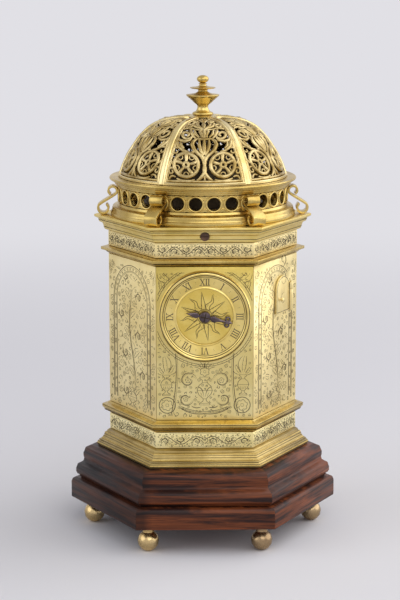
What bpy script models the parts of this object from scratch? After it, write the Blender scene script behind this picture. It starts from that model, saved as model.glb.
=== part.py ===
"""Hexagonal gilt brass table clock with a pierced dome over its bell, on a wooden plinth.

Metres, +Z up. The origin is on the clock's axis, on the surface that its feet stand on. The dial
faces -Y. A size called a corner radius runs from the axis to a corner of a hexagon.
"""

import math

import bmesh
import bpy
from mathutils import Matrix, Vector
from mathutils.geometry import delaunay_2d_cdt

# Clearances
SEAT_GAP = 0.0002  # between pieces that rest on each other
RUN_GAP = 0.00008  # around a turning pivot
WELD = 0.000002  # corners nearer than this become one
FILL_NEAR = 0.0000001  # corners of a flat outline nearer than this become one
SWING_GAP = 0.0004  # beside a piece that moves past another
OVERRUN = 0.0010  # how far a cutter or a joined piece reaches past a face

# Fineness of the facets
ROUND_STEPS = 30
SMALL_STEPS = 8
ARC_STEPS = 2
PIN_STEPS = 6
LOBE_STEPS = 8
HUB_STEPS = 16
CURL_STEPS = 6
DOME_SPAN_STEPS = 6
PIERCED_ROWS = 6
SHARP_ANGLE = math.radians(38)

# Case: upright faces of a hexagon, corners to the sides
SIDES = 6
WALL_R = 0.0440  # corner radius of the upright faces
PANEL_WALL = 0.0014
FRIEZE_WALL = 0.0036
FLAT_SHARE = math.cos(math.pi / SIDES)  # of a corner radius, from the axis to a flat

# Heights of the layers, from the feet up
FOOT_HEIGHT = 0.0122
SLAB_HEIGHT = 0.0098
PLINTH_HEIGHT = 0.0155
BASE_HEIGHT = 0.0080
LOWER_FRIEZE_HEIGHT = 0.0073
LOWER_STRING_HEIGHT = 0.0056
UPPER_STRING_HEIGHT = 0.0036
UPPER_FRIEZE_HEIGHT = 0.0068
CORNICE_HEIGHT = 0.0075
GALLERY_BASE_HEIGHT = 0.0058
DRUM_HEIGHT = 0.0072
FLANGE_HEIGHT = 0.0042
DOME_HEIGHT = 0.0279

SLAB_LOW = FOOT_HEIGHT + SEAT_GAP
PLINTH_LOW = SLAB_LOW + SLAB_HEIGHT + SEAT_GAP
BASE_LOW = PLINTH_LOW + PLINTH_HEIGHT + SEAT_GAP
LOWER_FRIEZE_LOW = BASE_LOW + BASE_HEIGHT + SEAT_GAP
LOWER_STRING_LOW = LOWER_FRIEZE_LOW + LOWER_FRIEZE_HEIGHT + SEAT_GAP
PANEL_LOW = LOWER_STRING_LOW + LOWER_STRING_HEIGHT + SEAT_GAP

# Bottom plate, which closes the case and carries the movement
FLOOR_THICK = 0.0020
FLOOR_TOP = LOWER_FRIEZE_LOW + FLOOR_THICK

# Wheels of the movement, stacked up from the bottom plate: alarm barrel, mainspring barrel, dial
MODULE = 0.0009  # pitch diameter for each tooth
TOOTH_UP_SHARE = 0.80  # of the module
TOOTH_DOWN_SHARE = 1.15
TOOTH_WIDTH_SHARE = 0.40  # of the pitch
TOOTH_ROOT_SHARE = 0.64  # of that width, on each side of a tooth's middle
TOOTH_TIP_SHARE = 0.30
DIAL_WHEEL_TEETH = 24
DIAL_PINION_TEETH = 8
GREAT_TEETH = 32
SECOND_PINION_TEETH = 8
SECOND_TEETH = 22
CROWN_PINION_TEETH = 7
SECOND_TURN = math.radians(30)  # where the second arbor lies, seen from the barrel's
CROWN_TURN = math.radians(115)  # and the crown arbor, seen from the second
CROWN_R = 0.0080
ALARM_WHEEL_R = 0.0118
ALARM_FLOOR_ROOM = 0.0047  # from the bottom plate to the alarm barrel's wheel
GREAT_WHEEL_ROOM = 0.00158  # from that wheel to the mainspring barrel's
CROWN_TOP_ROOM = 0.00187  # from the crown wheel to the top of the plates

ALARM_Z = FLOOR_TOP + ALARM_FLOOR_ROOM + ALARM_WHEEL_R
GREAT_TIP_R = MODULE * (GREAT_TEETH / 2 + TOOTH_UP_SHARE)
BARREL_Z = ALARM_Z + ALARM_WHEEL_R + GREAT_WHEEL_ROOM + GREAT_TIP_R
DIAL_Z = BARREL_Z + MODULE * (DIAL_WHEEL_TEETH + DIAL_PINION_TEETH) / 2
SECOND_DISTANCE = MODULE * (GREAT_TEETH + SECOND_PINION_TEETH) / 2
CROWN_DISTANCE = MODULE * (SECOND_TEETH + CROWN_PINION_TEETH) / 2
SECOND_X = SECOND_DISTANCE * math.cos(SECOND_TURN)
SECOND_Z = BARREL_Z + SECOND_DISTANCE * math.sin(SECOND_TURN)
CROWN_X = SECOND_X + CROWN_DISTANCE * math.cos(CROWN_TURN)
CROWN_Z = SECOND_Z + CROWN_DISTANCE * math.sin(CROWN_TURN)
MOVEMENT_TOP = CROWN_Z + CROWN_R + CROWN_TOP_ROOM

# Layers above the panels, whose height puts the dial at its share of them
DIAL_SHARE = 0.6813
PANEL_HEIGHT = (DIAL_Z - PANEL_LOW) / DIAL_SHARE
UPPER_STRING_LOW = PANEL_LOW + PANEL_HEIGHT + SEAT_GAP
UPPER_FRIEZE_LOW = UPPER_STRING_LOW + UPPER_STRING_HEIGHT + SEAT_GAP
CORNICE_LOW = UPPER_FRIEZE_LOW + UPPER_FRIEZE_HEIGHT + SEAT_GAP
GALLERY_LOW = CORNICE_LOW + CORNICE_HEIGHT + SEAT_GAP
DRUM_LOW = GALLERY_LOW + GALLERY_BASE_HEIGHT + SEAT_GAP
FLANGE_LOW = DRUM_LOW + DRUM_HEIGHT + SEAT_GAP
DOME_LOW = FLANGE_LOW + FLANGE_HEIGHT + SEAT_GAP
FINIAL_LOW = DOME_LOW + DOME_HEIGHT + SEAT_GAP

# Wooden plinth
SLAB_R = 0.0628
SLAB_ROUNDING = 0.0022
PLINTH_R = 0.0530  # corner radius of its top
PLINTH_SPREAD = 0.0075  # how far its foot stands out past the top
PLINTH_WALL = 0.0130  # corner radius that it goes in from its top to the well under the clock

# Feet: balls on short necks
FOOT_INSET = 0.0110  # of their centres from the corners of the slab
BALL_R = 0.00495
FOOT_FLAT_R = 0.0012  # of the flat that it stands on
FOOT_NECK_R = 0.0026
FOOT_COLLAR_R = 0.0038
FOOT_COLLAR_THICK = 0.0011
FOOT_STEPS = 12
FOOT_ROWS = 5

# Brass mouldings, each as its reach past the upright faces, in corner radius
BASE_REACH = 0.0061
STRING_REACH = 0.0036
CORNICE_REACH = 0.0065
RING_WALL = 0.0046  # corner radius that a moulding goes in behind the upright faces
BASE_LEDGE = 0.0100  # how far the base goes in under the bottom plate
CORNICE_LEDGE = 0.0065  # how far the cornice goes in under the gallery

# Inside of the case, and the plate under the bell
CASE_INNER_R = WALL_R - FRIEZE_WALL
BELL_PLATE_THICK = 0.0014
BELL_PLATE_LAP = 0.0016  # how far it lies on the frieze

# Cornice screw
SCREW_HEAD_R = 0.00205
SCREW_HEAD_THICK = 0.0012
SCREW_SHANK_R = 0.0009
SCREW_SLOT = 0.0005
SCREW_HEIGHT_SHARE = 0.42

# Gallery under the dome
DRUM_R = 0.0391
DRUM_WALL = 0.0016
DRUM_HOLES = 30
DRUM_HOLE_STEPS = 8
DRUM_HOLE_R = 0.00295
GALLERY_REACH = 0.0038  # of the base ring past the drum
FLANGE_REACH = 0.0042  # of the dome's flange past the drum

# Scroll brackets at the corners
BRACKET_WIDTH = 0.0064
BRACKET_THICK = 0.0010
UPPER_CURL_R = 0.0020  # to the middle of the strip
LOWER_CURL_R = 0.0024
LOWER_CURL_OUT = 0.0071  # from the drum's face to the lower curl's centre
UPPER_CURL_START = math.radians(-60)
LOWER_CURL_END = math.radians(-230)

# Dome
DOME_PAST_DRUM = 0.0004
DOME_R = DRUM_R + DOME_PAST_DRUM
RIB_FOOT_WIDTH = 0.0047
RIB_TOP_WIDTH = 0.0030
RIB_THICK = 0.0020
DOME_RING_HEIGHT = 0.0012
DOME_RING_WALL = 0.0030
DOME_BOSS_R = 0.0068
DOME_BOSS_THICK = 0.0020
PIERCED_THICK = 0.0012
PIERCED_DEPTH = 0.0005  # below the ribs' backs of the round
DOME_SHARES = (
    (1.000, 0.000), (0.967, 0.150), (0.912, 0.310), (0.835, 0.500), (0.740, 0.685),
    (0.620, 0.845), (0.480, 0.942), (0.300, 0.988), (0.080, 1.000),
)
PIERCED_TOP_SHARE = 0.86  # of the way up the dome
RIB_SHARES = (  # its section, across as a share of its width and down as a share of its thickness
    (-0.5, 1.0), (0.5, 1.0), (0.5, 0.42), (0.24, 0.04), (-0.24, 0.04), (-0.5, 0.42),
)
RIB_STATIONS = 8

# Finial
FINIAL_HEIGHT = 0.0181
FINIAL_R = 0.0077

# Bell inside the dome
BELL_SIDE_ROOM = 0.0111  # from the drum's outer face to its rim
BELL_R = DRUM_R - BELL_SIDE_ROOM
BELL_HEIGHT = 0.0215
BELL_WALL = 0.0014
BELL_LIFT = 0.0120  # its mouth above the bell plate
POST_R = 0.0022
POST_FOOT_R = 0.0045
POST_THREAD_R = 0.0014
POST_THREAD_HEIGHT = 0.0040
POST_RIM = 0.0010  # upright edge of its foot
POST_FLARE = 0.0044  # height at which the foot has narrowed to the shaft
POST_SEAT_R = 0.0036  # of the shoulder under the bell
POST_SEAT_RIM = 0.00088
POST_SEAT_FLARE = 0.0022
NUT_R = 0.0036
NUT_HEIGHT = 0.0020

# Hammer
HAMMER_ARBOR_R = 0.0010
HAMMER_COLLAR_R = 0.0020
HAMMER_COLLAR_SHARE = 0.6  # of the arm's thickness that it reaches up
HAMMER_ARM_THICK = 0.0012
HAMMER_ARM_SINK_SHARE = 0.25  # of that thickness, by which the arm lies under the rise's foot
HAMMER_RISE_SHARES = (-0.75, 0.40)  # its two sides along the arm, from the head's middle
HAMMER_RISE_WIDTH_SHARE = 0.9
HAMMER_TAIL_WIDTH_SHARE = 0.8
HAMMER_HEAD_R = 0.0018
HAMMER_HEAD_LIFT_SHARE = 1.4  # of its radius, from the bell's mouth up to its middle
HAMMER_HEAD_LENGTH = 0.0036
HAMMER_REACH = 0.0100
HAMMER_GAP = 0.0008  # from the bell when at rest
HAMMER_TURN = math.pi  # where its arbor stands, in the left corner of the case
HAMMER_TAIL_TURN = math.radians(6)  # towards the pins of the alarm barrel

# Dial, on the front panel
BEZEL_R = 0.0210
BEZEL_WALL = 0.0025
BEZEL_RISE = 0.0024
CHAPTER_RISE = 0.0014
CHAPTER_INNER_R = 0.01335
ALARM_DISC_THICK = 0.0008
ALARM_RIM_GAP = 0.00015
ALARM_HOLE_R = 0.0020
HAND_REACH = 0.0129
HAND_TAIL = 0.0089
HAND_THICK = 0.0006
HAND_HUB_R = 0.0027
HAND_HUB_RISE = 0.0016
HAND_EYE_R = 0.0017
HAND_EYE_BACK = 0.00374  # from the tip back to the middle of the eye
HAND_HOLE_R = 0.000765
HAND_HOLE_AHEAD = 0.00085  # of the eye's middle
HAND_LOBE_R = 0.00085
HAND_LOBE_BACK = 0.00102
HAND_STEM = 0.0007
HAND_ROOT_BACK = 0.00135  # from its axis back to where the tail begins to widen
HAND_ROOT_HALF = 0.000525  # half its width there
HAND_TURN = math.radians(102.5)  # clockwise from the top, as the photograph shows it
HAND_ARBOR_R = 0.0011

# Shutter on the face to the right of the dial
SHUTTER_ACROSS = 0.0058  # its middle from the middle of the face
SHUTTER_WIDTH = 0.0130
SHUTTER_LOW_SHARE = 0.6374  # of the panel's height, up to its lower edge
SHUTTER_LOW = PANEL_LOW + PANEL_HEIGHT * SHUTTER_LOW_SHARE
SHUTTER_HEIGHT = 0.0172
SHUTTER_THICK = 0.0008
SHUTTER_HOLE_MARGIN = 0.0026
SHUTTER_ARC_STEPS = 10
HINGE_R = 0.0011
HINGE_PIN_R = 0.0005
HINGE_SPLIT_SHARE = 0.74  # of the barrel's height, the shutter's own knuckle
HINGE_HEIGHT = 0.0132
SHUTTER_KNOB_R = 0.0010
SHUTTER_KNOB_RISE = 0.0022
SHUTTER_KNOB_HEIGHT_SHARE = 0.38
SHUTTER_KNOB_ACROSS_SHARE = 0.74  # of the leaf's width, from the hinge
STRAP_SHARES = (0.15, 0.85)  # of the leaf's thickness, between which its knuckle is joined to it
WINDING_HOLE_R = 0.0030

# Movement: two upright plates with pillars, arbors from front to back
MOVEMENT_PLATE_THICK = 0.0018
MOVEMENT_WIDTH = 0.0480
DIAL_WORK_DEPTH = 0.0125  # from the front panel to the front plate
PILLAR_R = 0.0020
TENON_R = 0.0012  # of a pillar's end, through the front plate
PILLAR_INSET = 0.0040
PIVOT_R = 0.0009
ARBOR_R = 0.0014
WHEEL_THICK = 0.0012
PINION_LENGTH = 0.0032
RIM_WIDTH = 0.0020
HUB_R = 0.0032
SPOKE_WIDTH = 0.0016
SPOKES = 4
TRAIN_END_ROOM = 0.0032  # from the back plate to the first wheel
WHEEL_SPACE = 0.0035
BARREL_R = 0.0130
BARREL_LENGTH = 0.0160
BRIDGE_THICK = 0.0018
BRIDGE_SETBACK = 0.0030  # behind the clock's axis
BRIDGE_WIDTH = 0.0050
WINDING_SQUARE = 0.0022
WINDING_REACH = 0.0090  # of the square behind the back plate
RATCHET_R = 0.0060
RATCHET_TEETH = 14
RATCHET_DEPTH = 0.00135
RATCHET_LEAN_SHARE = 0.85  # of the pitch, from a tooth's tip to the next root

# Escapement: a crown wheel and an upright verge with a balance on top
CROWN_TEETH = 13
CROWN_WALL = 0.0007
CROWN_RIM = 0.0030
CROWN_CUT = 0.0026  # depth of its raked cuts
CROWN_RAKE_SHARE = 0.38  # of that depth, a third of the way along a cut
CROWN_FRONT_GAP = 0.0015  # from the bridge to the crown wheel
VERGE_R = 0.0007
VERGE_GAP = 0.0012  # from the tooth tips to the verge's side
PALLET_LENGTH = 0.0018
PALLET_THICK = 0.0006
PALLET_HEIGHT = 0.0014
PALLET_LEAN = math.radians(50)  # to each side of straight back
BALANCE_R = 0.0140
BALANCE_RIM = 0.0018
BALANCE_THICK = 0.0012
BALANCE_ARM_SHARES = (0.2, 0.8)  # of that thickness, between which its arm lies
BALANCE_LIFT = 0.0020  # above the movement's top
POTENCE_WIDTH = 0.0040
POTENCE_THICK = 0.0016

# Alarm barrel, low in the movement
ALARM_BARREL_R = 0.0100
ALARM_BARREL_LENGTH = 0.0150
ALARM_PINS = 8
ALARM_PIN_R = 0.0006
ALARM_PIN_INSET = 0.0012  # from the wheel's edge to a pin's middle
ALARM_PIN_LENGTH = 0.0020

# Colours as (red, green, blue), roughness, metal
GILT = ((0.78, 0.60, 0.26), 0.32, 1.0)
PALE_GILT = ((0.82, 0.68, 0.36), 0.28, 1.0)
ENGRAVED = ((0.72, 0.58, 0.28), 0.42, 1.0)
BLUED = ((0.10, 0.07, 0.11), 0.38, 0.9)
IRON = ((0.20, 0.19, 0.18), 0.45, 1.0)
BELL_METAL = ((0.50, 0.42, 0.26), 0.35, 1.0)
WOOD = ((0.12, 0.035, 0.025), 0.35, 0.0)

# Profiles, each point as how it is reached, its share of the reach and its share of the height
BASE_SHARES = (
    ("line", 1.00, 0.00), ("line", 1.00, 0.14), ("up_first", 0.84, 0.30), ("line", 0.84, 0.36),
    ("across_first", 0.56, 0.52), ("line", 0.50, 0.55), ("up_first", 0.24, 0.80),
    ("line", 0.24, 0.88), ("line", 0.00, 1.00),
)
LOWER_STRING_SHARES = (
    ("line", 0.00, 0.00), ("line", 0.10, 0.12), ("across_first", 0.86, 0.46),
    ("line", 1.00, 0.50), ("line", 1.00, 0.78), ("across_first", 0.00, 1.00),
)
UPPER_STRING_SHARES = (
    ("line", 0.00, 0.00), ("line", 0.16, 0.10), ("up_first", 0.90, 0.46),
    ("line", 1.00, 0.52), ("line", 1.00, 0.84), ("line", 0.60, 0.92), ("line", 0.00, 1.00),
)
CORNICE_SHARES = (
    ("line", 0.00, 0.00), ("line", 0.14, 0.03), ("across_first", 0.30, 0.16),
    ("line", 0.34, 0.28), ("up_first", 0.58, 0.52), ("line", 0.64, 0.54),
    ("up_first", 0.94, 0.84), ("line", 1.00, 0.86), ("line", 1.00, 1.00),
)
PLINTH_SHARES = (
    ("line", 0.76, 0.00), ("line", 0.76, 0.06), ("across_first", 1.00, 0.16),
    ("line", 1.00, 0.26), ("up_first", 0.64, 0.46), ("across_first", 0.48, 0.58),
    ("line", 0.52, 0.66), ("line", 0.53, 0.74), ("up_first", 0.00, 1.00),
)
GALLERY_SHARES = (
    ("line", 1.00, 0.00), ("line", 1.00, 0.26), ("across_first", 0.80, 0.44),
    ("line", 0.80, 0.52), ("up_first", 0.62, 0.72), ("line", 0.40, 0.74),
    ("across_first", 0.08, 1.00),
)
FLANGE_SHARES = (
    ("line", 0.10, 0.00), ("line", 0.26, 0.06), ("line", 0.28, 0.24), ("line", 0.44, 0.28),
    ("line", 0.48, 0.48), ("line", 0.66, 0.54), ("line", 0.70, 0.68), ("line", 0.94, 0.72),
    ("line", 1.00, 0.80), ("line", 1.00, 0.92), ("line", 0.92, 1.00),
)
BEZEL_SHARES = (
    ("line", 1.00, 0.00), ("line", 1.00, 0.42), ("line", 0.90, 0.50), ("up_first", 0.50, 1.00),
    ("across_first", 0.16, 0.72), ("line", 0.00, 0.58),
)
# Right edge of the hand: shares of half its stem across, and of its tail or of the way to its eye
HAND_TAIL_SHARES = ((0.0, -1.0), (2.2, -0.55))
HAND_STEM_SHARES = ((1.4, 0.0), (1.0, 0.6), (1.0, 1.0))
HAND_EYE_SHARES = (0.1, 0.9)  # of the blade's thickness, between which its eye lies
HAND_LOBE_SHARES = (0.2, 0.8)
HAND_HUB_SHARES = (
    ("line", 1.00, 0.375), ("line", 0.80, 0.70), ("line", 0.40, 1.00), ("line", 0.00, 1.00),
)
KNOB_SHARES = (
    ("line", 0.50, 0.40), ("line", 1.00, 0.60), ("line", 0.80, 0.90), ("line", 0.00, 1.00),
)
FINIAL_SHARES = (
    ("line", 0.62, 0.00), ("line", 0.62, 0.05), ("across_first", 0.30, 0.13),
    ("line", 0.27, 0.21), ("across_first", 0.46, 0.30), ("line", 0.62, 0.37),
    ("line", 0.70, 0.39), ("line", 0.98, 0.47), ("line", 1.00, 0.50), ("line", 0.52, 0.56),
    ("line", 0.26, 0.58), ("line", 0.24, 0.64), ("line", 0.74, 0.66), ("line", 0.76, 0.69),
    ("line", 0.26, 0.73), ("line", 0.20, 0.79), ("line", 0.31, 0.84), ("line", 0.34, 0.90),
    ("line", 0.26, 0.96), ("line", 0.00, 1.00),
)
BELL_SHARES = (
    (1.00, 0.00), (0.95, 0.06), (0.90, 0.22), (0.86, 0.44), (0.78, 0.66), (0.62, 0.84),
    (0.40, 0.95), (0.16, 1.00),
)

# Piercings of a dome panel, right half, each point a share of the panel's height
ROSE_CENTRE_SHARES = (0.195, 0.165)
ROSE_INNER_SHARE = 0.040
ROSE_OUTER_SHARE = 0.122
ROSE_PETALS = 5
ROSE_BAR = math.radians(24)
ROSE_START_SHARE = 0.25  # of a petal, by which the first one is turned
ROSE_NECK_SHARE = 0.62  # of a petal's spread, at its inner end
SIDE_PIERCING_SHARES = (
    ((0.016, 0.030), (0.078, 0.028), (0.046, 0.070), (0.016, 0.110)),
    ((0.016, 0.225), (0.042, 0.250), (0.088, 0.318), (0.016, 0.335)),
    ((0.318, 0.028), (0.392, 0.028), (0.376, 0.110), (0.350, 0.080)),
    ((0.338, 0.250), (0.352, 0.250), (0.330, 0.336), (0.258, 0.345)),
    ((0.075, 0.400), (0.140, 0.378), (0.190, 0.415), (0.176, 0.474), (0.092, 0.470)),
    ((0.240, 0.392), (0.298, 0.380), (0.276, 0.470), (0.240, 0.500)),
    ((0.140, 0.522), (0.180, 0.510), (0.200, 0.560), (0.148, 0.580)),
    ((0.238, 0.540), (0.252, 0.520), (0.236, 0.600), (0.200, 0.650)),
    ((0.020, 0.664), (0.046, 0.664), (0.060, 0.755), (0.026, 0.780)),
    ((0.072, 0.652), (0.112, 0.664), (0.142, 0.728), (0.104, 0.752)),
    ((0.070, 0.806), (0.098, 0.812), (0.064, 0.868)),
)
TOP_PIERCING_SHARES = ((0.0, 0.820), (0.024, 0.855), (0.0, 0.905), (-0.024, 0.855))

collection = bpy.context.scene.collection
TAU = math.tau
FACING = (math.pi / 2, 0, 0)  # turns what is drawn flat to face the front


def clear_scene():
    for item in list(bpy.data.objects):
        bpy.data.objects.remove(item)


def metal(name, look):
    """A Principled material from a colour, a roughness and a metal value."""
    found = bpy.data.materials.get(name)
    if found:
        return found
    colour, roughness, metallic = look
    made = bpy.data.materials.new(name)
    made.use_nodes = True
    shader = made.node_tree.nodes["Principled BSDF"]
    shader.inputs["Base Color"].default_value = (*colour, 1.0)
    shader.inputs["Roughness"].default_value = roughness
    shader.inputs["Metallic"].default_value = metallic
    return made


def mesh_of(vertices, faces):
    mesh = bpy.data.meshes.new("shape")
    mesh.from_pydata([tuple(v) for v in vertices], [], faces)
    mesh.update()
    return mesh


def put(name, mesh, look_name, look, place=None, turn=None, parent=None):
    """Names a mesh's object and sets its place, its turn and its material."""
    mesh.name = name
    mesh.shade_smooth()
    mesh.set_sharp_from_angle(angle=SHARP_ANGLE)
    piece = bpy.data.objects.new(name, mesh)
    collection.objects.link(piece)
    if not mesh.materials:
        mesh.materials.append(metal(look_name, look))
    piece.location = place or (0, 0, 0)
    piece.rotation_euler = turn or (0, 0, 0)
    piece.parent = parent
    return piece


def area(outline):
    ahead = outline[1:] + outline[:1]
    return sum(a[0] * b[1] - b[0] * a[1] for a, b in zip(outline, ahead)) / 2


def anticlockwise(outline):
    return outline if area(outline) > 0 else outline[::-1]


def inside(x, y, loops):
    """Whether a point lies in a plate, by counting the edges to its right."""
    count = 0
    for loop in loops:
        for a, b in zip(loop, loop[1:] + loop[:1]):
            if (a[1] > y) != (b[1] > y):
                count += x < a[0] + (b[0] - a[0]) * (y - a[1]) / (b[1] - a[1])
    return count % 2 == 1


def triangles(loops):
    """Triangles, wound anticlockwise, that fill an outline and leave its holes open."""
    points = [Vector(point) for loop in loops for point in loop]
    edges, start = [], 0
    for loop in loops:
        size = len(loop)
        edges += [(start + i, start + (i + 1) % size) for i in range(size)]
        start += size
    found = delaunay_2d_cdt(points, edges, [], 0, FILL_NEAR)
    kept = []
    for face in found[2]:
        corners = [found[3][i][0] for i in face]
        x, y = sum((points[i] for i in corners), Vector((0, 0))) / 3
        if inside(x, y, loops):
            flat = [tuple(points[i]) for i in corners]
            kept.append(tuple(corners if area(flat) > 0 else corners[::-1]))
    return kept


def prism(outline, low, high, holes=(), far_outline=None, carry=None):
    """A plate with holes between two heights.

    far_outline is the outline at the high side where it differs, with as many points. carry turns
    a point (x, y, height) of the plate into its place, for a plate that is bent.
    """
    loops = [anticlockwise(list(outline))] + [anticlockwise(list(hole))[::-1] for hole in holes]
    far = [anticlockwise(list(far_outline or outline))] + loops[1:]
    place = carry or (lambda x, y, height: (x, y, height))
    flat = [point for loop in loops for point in loop]
    far_flat = [point for loop in far for point in loop]
    count = len(flat)
    vertices = [place(x, y, low) for x, y in flat] + [place(x, y, high) for x, y in far_flat]
    faces = []
    for a, b, c in triangles(loops):
        faces.append((c, b, a))
        faces.append((a + count, b + count, c + count))
    start = 0
    for loop in loops:
        size = len(loop)
        for i in range(size):
            here, after = start + i, start + (i + 1) % size
            faces.append((here, after, after + count, here + count))
        start += size
    return mesh_of(vertices, faces)


def turned(outline, steps, start_turn=0.0):
    """An outline of (radius, height) turned about Z, listed with the solid on its left.

    An outline that starts and ends on the axis makes a solid, any other one a ring.
    """
    on_axis = outline[0][0] == 0
    vertices, rows = [], []
    for radius, height in outline:
        if radius == 0:
            rows.append([len(vertices)] * steps)
            vertices.append((0, 0, height))
            continue
        rows.append([len(vertices) + k for k in range(steps)])
        for k in range(steps):
            turn = start_turn + TAU * k / steps
            vertices.append((radius * math.cos(turn), radius * math.sin(turn), height))
    faces = []
    pairs = list(zip(rows, rows[1:] + ([] if on_axis else rows[:1])))
    for lower, upper in pairs:
        for k in range(steps):
            after = (k + 1) % steps
            corners = (lower[k], lower[after], upper[after], upper[k])
            faces.append(tuple(dict.fromkeys(corners)))
    return mesh_of(vertices, faces)


def circle(radius, steps=SMALL_STEPS, x=0.0, y=0.0, start_turn=0.0):
    turns = [start_turn + TAU * k / steps for k in range(steps)]
    return [(x + radius * math.cos(turn), y + radius * math.sin(turn)) for turn in turns]


def rod(radius, low, high, steps=SMALL_STEPS, x=0.0, y=0.0):
    return prism(circle(radius, steps, x, y), low, high)


def bore(radius, x=0.0, y=0.0):
    """A hole in which a small rod of this radius turns freely, corners and all."""
    return circle(radius / math.cos(math.pi / SMALL_STEPS) + RUN_GAP, SMALL_STEPS, x, y)


def bent(points_shares, base, reach, low, height):
    """A moulding's outer side from its foot up, straight or by quarter bends between points."""
    points = []
    for bend, out_share, up_share in points_shares:
        target = (base + reach * out_share, low + height * up_share)
        if bend == "line" or not points:
            points.append(target)
            continue
        start = points[-1]
        for step in range(1, ARC_STEPS + 1):
            turn = math.pi / 2 * step / ARC_STEPS
            late, early = 1 - math.cos(turn), math.sin(turn)
            across, up = (late, early) if bend == "up_first" else (early, late)
            out = start[0] + (target[0] - start[0]) * across
            points.append((out, start[1] + (target[1] - start[1]) * up))
    return points


def hex_ring(shares, base, reach, low, height, inner):
    """A six-sided ring: a moulding outside, and inner, a list of (radius, height) going down."""
    return turned(bent(shares, base, reach, low, height) + inner, SIDES)


def fused(meshes):
    """One closed mesh from meshes that overlap."""
    return combined(meshes, "UNION")


def cut(mesh, cutters):
    return combined([mesh] + cutters, "DIFFERENCE")


def combined(meshes, operation):
    pieces = [bpy.data.objects.new("stock", mesh) for mesh in meshes]
    for piece in pieces:
        collection.objects.link(piece)
    for tool in pieces[1:]:
        modifier = pieces[0].modifiers.new("shape", "BOOLEAN")
        modifier.operation = operation
        modifier.solver = "EXACT"
        modifier.object = tool
    bpy.context.view_layer.update()
    seen = pieces[0].evaluated_get(bpy.context.evaluated_depsgraph_get())
    result = bpy.data.meshes.new_from_object(seen)
    for piece in pieces:
        bpy.data.objects.remove(piece)
    tidy = bmesh.new()
    tidy.from_mesh(result)
    bmesh.ops.triangulate(tidy, faces=tidy.faces)
    bmesh.ops.remove_doubles(tidy, verts=tidy.verts, dist=WELD)
    bmesh.ops.dissolve_degenerate(tidy, edges=tidy.edges, dist=WELD)
    tidy.to_mesh(result)
    tidy.free()
    return result


def carried(mesh, matrix):
    mesh.transform(matrix)
    return mesh


def gear_outline(teeth, start_turn):
    """Straight-sided teeth, one of them centred on start_turn."""
    pitch_r = MODULE * teeth / 2
    tip_r = pitch_r + MODULE * TOOTH_UP_SHARE
    root_r = pitch_r - MODULE * TOOTH_DOWN_SHARE
    step = TAU / teeth
    half_root = step * TOOTH_WIDTH_SHARE * TOOTH_ROOT_SHARE
    half_tip = step * TOOTH_WIDTH_SHARE * TOOTH_TIP_SHARE
    points = []
    for k in range(teeth):
        middle = start_turn + step * k
        for radius, turn in ((root_r, -half_root), (tip_r, -half_tip), (tip_r, half_tip),
                             (root_r, half_root)):
            points.append((radius * math.cos(middle + turn), radius * math.sin(middle + turn)))
    return points


def crossings(rim_r):
    """Openings that leave spokes between the hub and the rim."""
    holes = []
    outer, inner = rim_r - RIM_WIDTH, HUB_R
    half = TAU / SPOKES / 2
    for k in range(SPOKES):
        middle = half + TAU * k / SPOKES
        spread_out = half - SPOKE_WIDTH / 2 / outer
        spread_in = half - SPOKE_WIDTH / 2 / inner
        turns = [(outer, middle + spread_out * share) for share in (-1, -0.5, 0, 0.5, 1)]
        turns += [(inner, middle + spread_in * share) for share in (1, 0, -1)]
        holes.append([(radius * math.cos(turn), radius * math.sin(turn)) for radius, turn in turns])
    return holes


def wheel(teeth, start_turn, low, thick=WHEEL_THICK, hollow=True):
    root_r = MODULE * (teeth / 2 - TOOTH_DOWN_SHARE)
    holes = crossings(root_r) if hollow else ()
    return prism(gear_outline(teeth, start_turn), low, low + thick, holes)


# Plinth and feet


def build_feet():
    """Turned balls with a flat under them, a neck and a collar, one under each corner."""
    collar_low = FOOT_HEIGHT - FOOT_COLLAR_THICK
    under = math.asin(FOOT_FLAT_R / BALL_R)
    neck = math.asin(FOOT_NECK_R / BALL_R)
    centre = BALL_R * math.cos(under)
    turns = [under + (math.pi - neck - under) * k / FOOT_ROWS for k in range(FOOT_ROWS + 1)]
    side = [(BALL_R * math.sin(turn), centre - BALL_R * math.cos(turn)) for turn in turns]
    outline = [(0, 0)] + side + [(FOOT_NECK_R, collar_low), (FOOT_COLLAR_R, collar_low)]
    outline += [(FOOT_COLLAR_R, FOOT_HEIGHT), (0, FOOT_HEIGHT)]
    mesh = turned(outline, FOOT_STEPS)
    for k in range(SIDES):
        turn = TAU * k / SIDES
        place = ((SLAB_R - FOOT_INSET) * math.cos(turn), (SLAB_R - FOOT_INSET) * math.sin(turn), 0)
        put(f"ball_foot_{k + 1}", mesh, "foot_brass", GILT, place)


def build_plinth():
    top = SLAB_LOW + SLAB_HEIGHT
    edge = [(SLAB_R, SLAB_LOW), (SLAB_R, top - SLAB_ROUNDING)]
    for step in range(1, ARC_STEPS + 1):
        turn = math.pi / 2 * step / ARC_STEPS
        edge.append((SLAB_R - SLAB_ROUNDING * (1 - math.cos(turn)),
                     top - SLAB_ROUNDING * (1 - math.sin(turn))))
    put("plinth_slab", turned([(0, SLAB_LOW)] + edge + [(0, top)], SIDES), "wood", WOOD)
    top = PLINTH_LOW + PLINTH_HEIGHT
    well_r = PLINTH_R - PLINTH_WALL
    inner = [(well_r, top), (well_r, PLINTH_LOW)]
    mesh = hex_ring(PLINTH_SHARES, PLINTH_R, PLINTH_SPREAD, PLINTH_LOW, PLINTH_HEIGHT, inner)
    put("plinth_moulding", mesh, "wood", WOOD)


# Brass rings of the case


def straight_inside(radius, low, height):
    return [(radius, low + height), (radius, low)]


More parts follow.
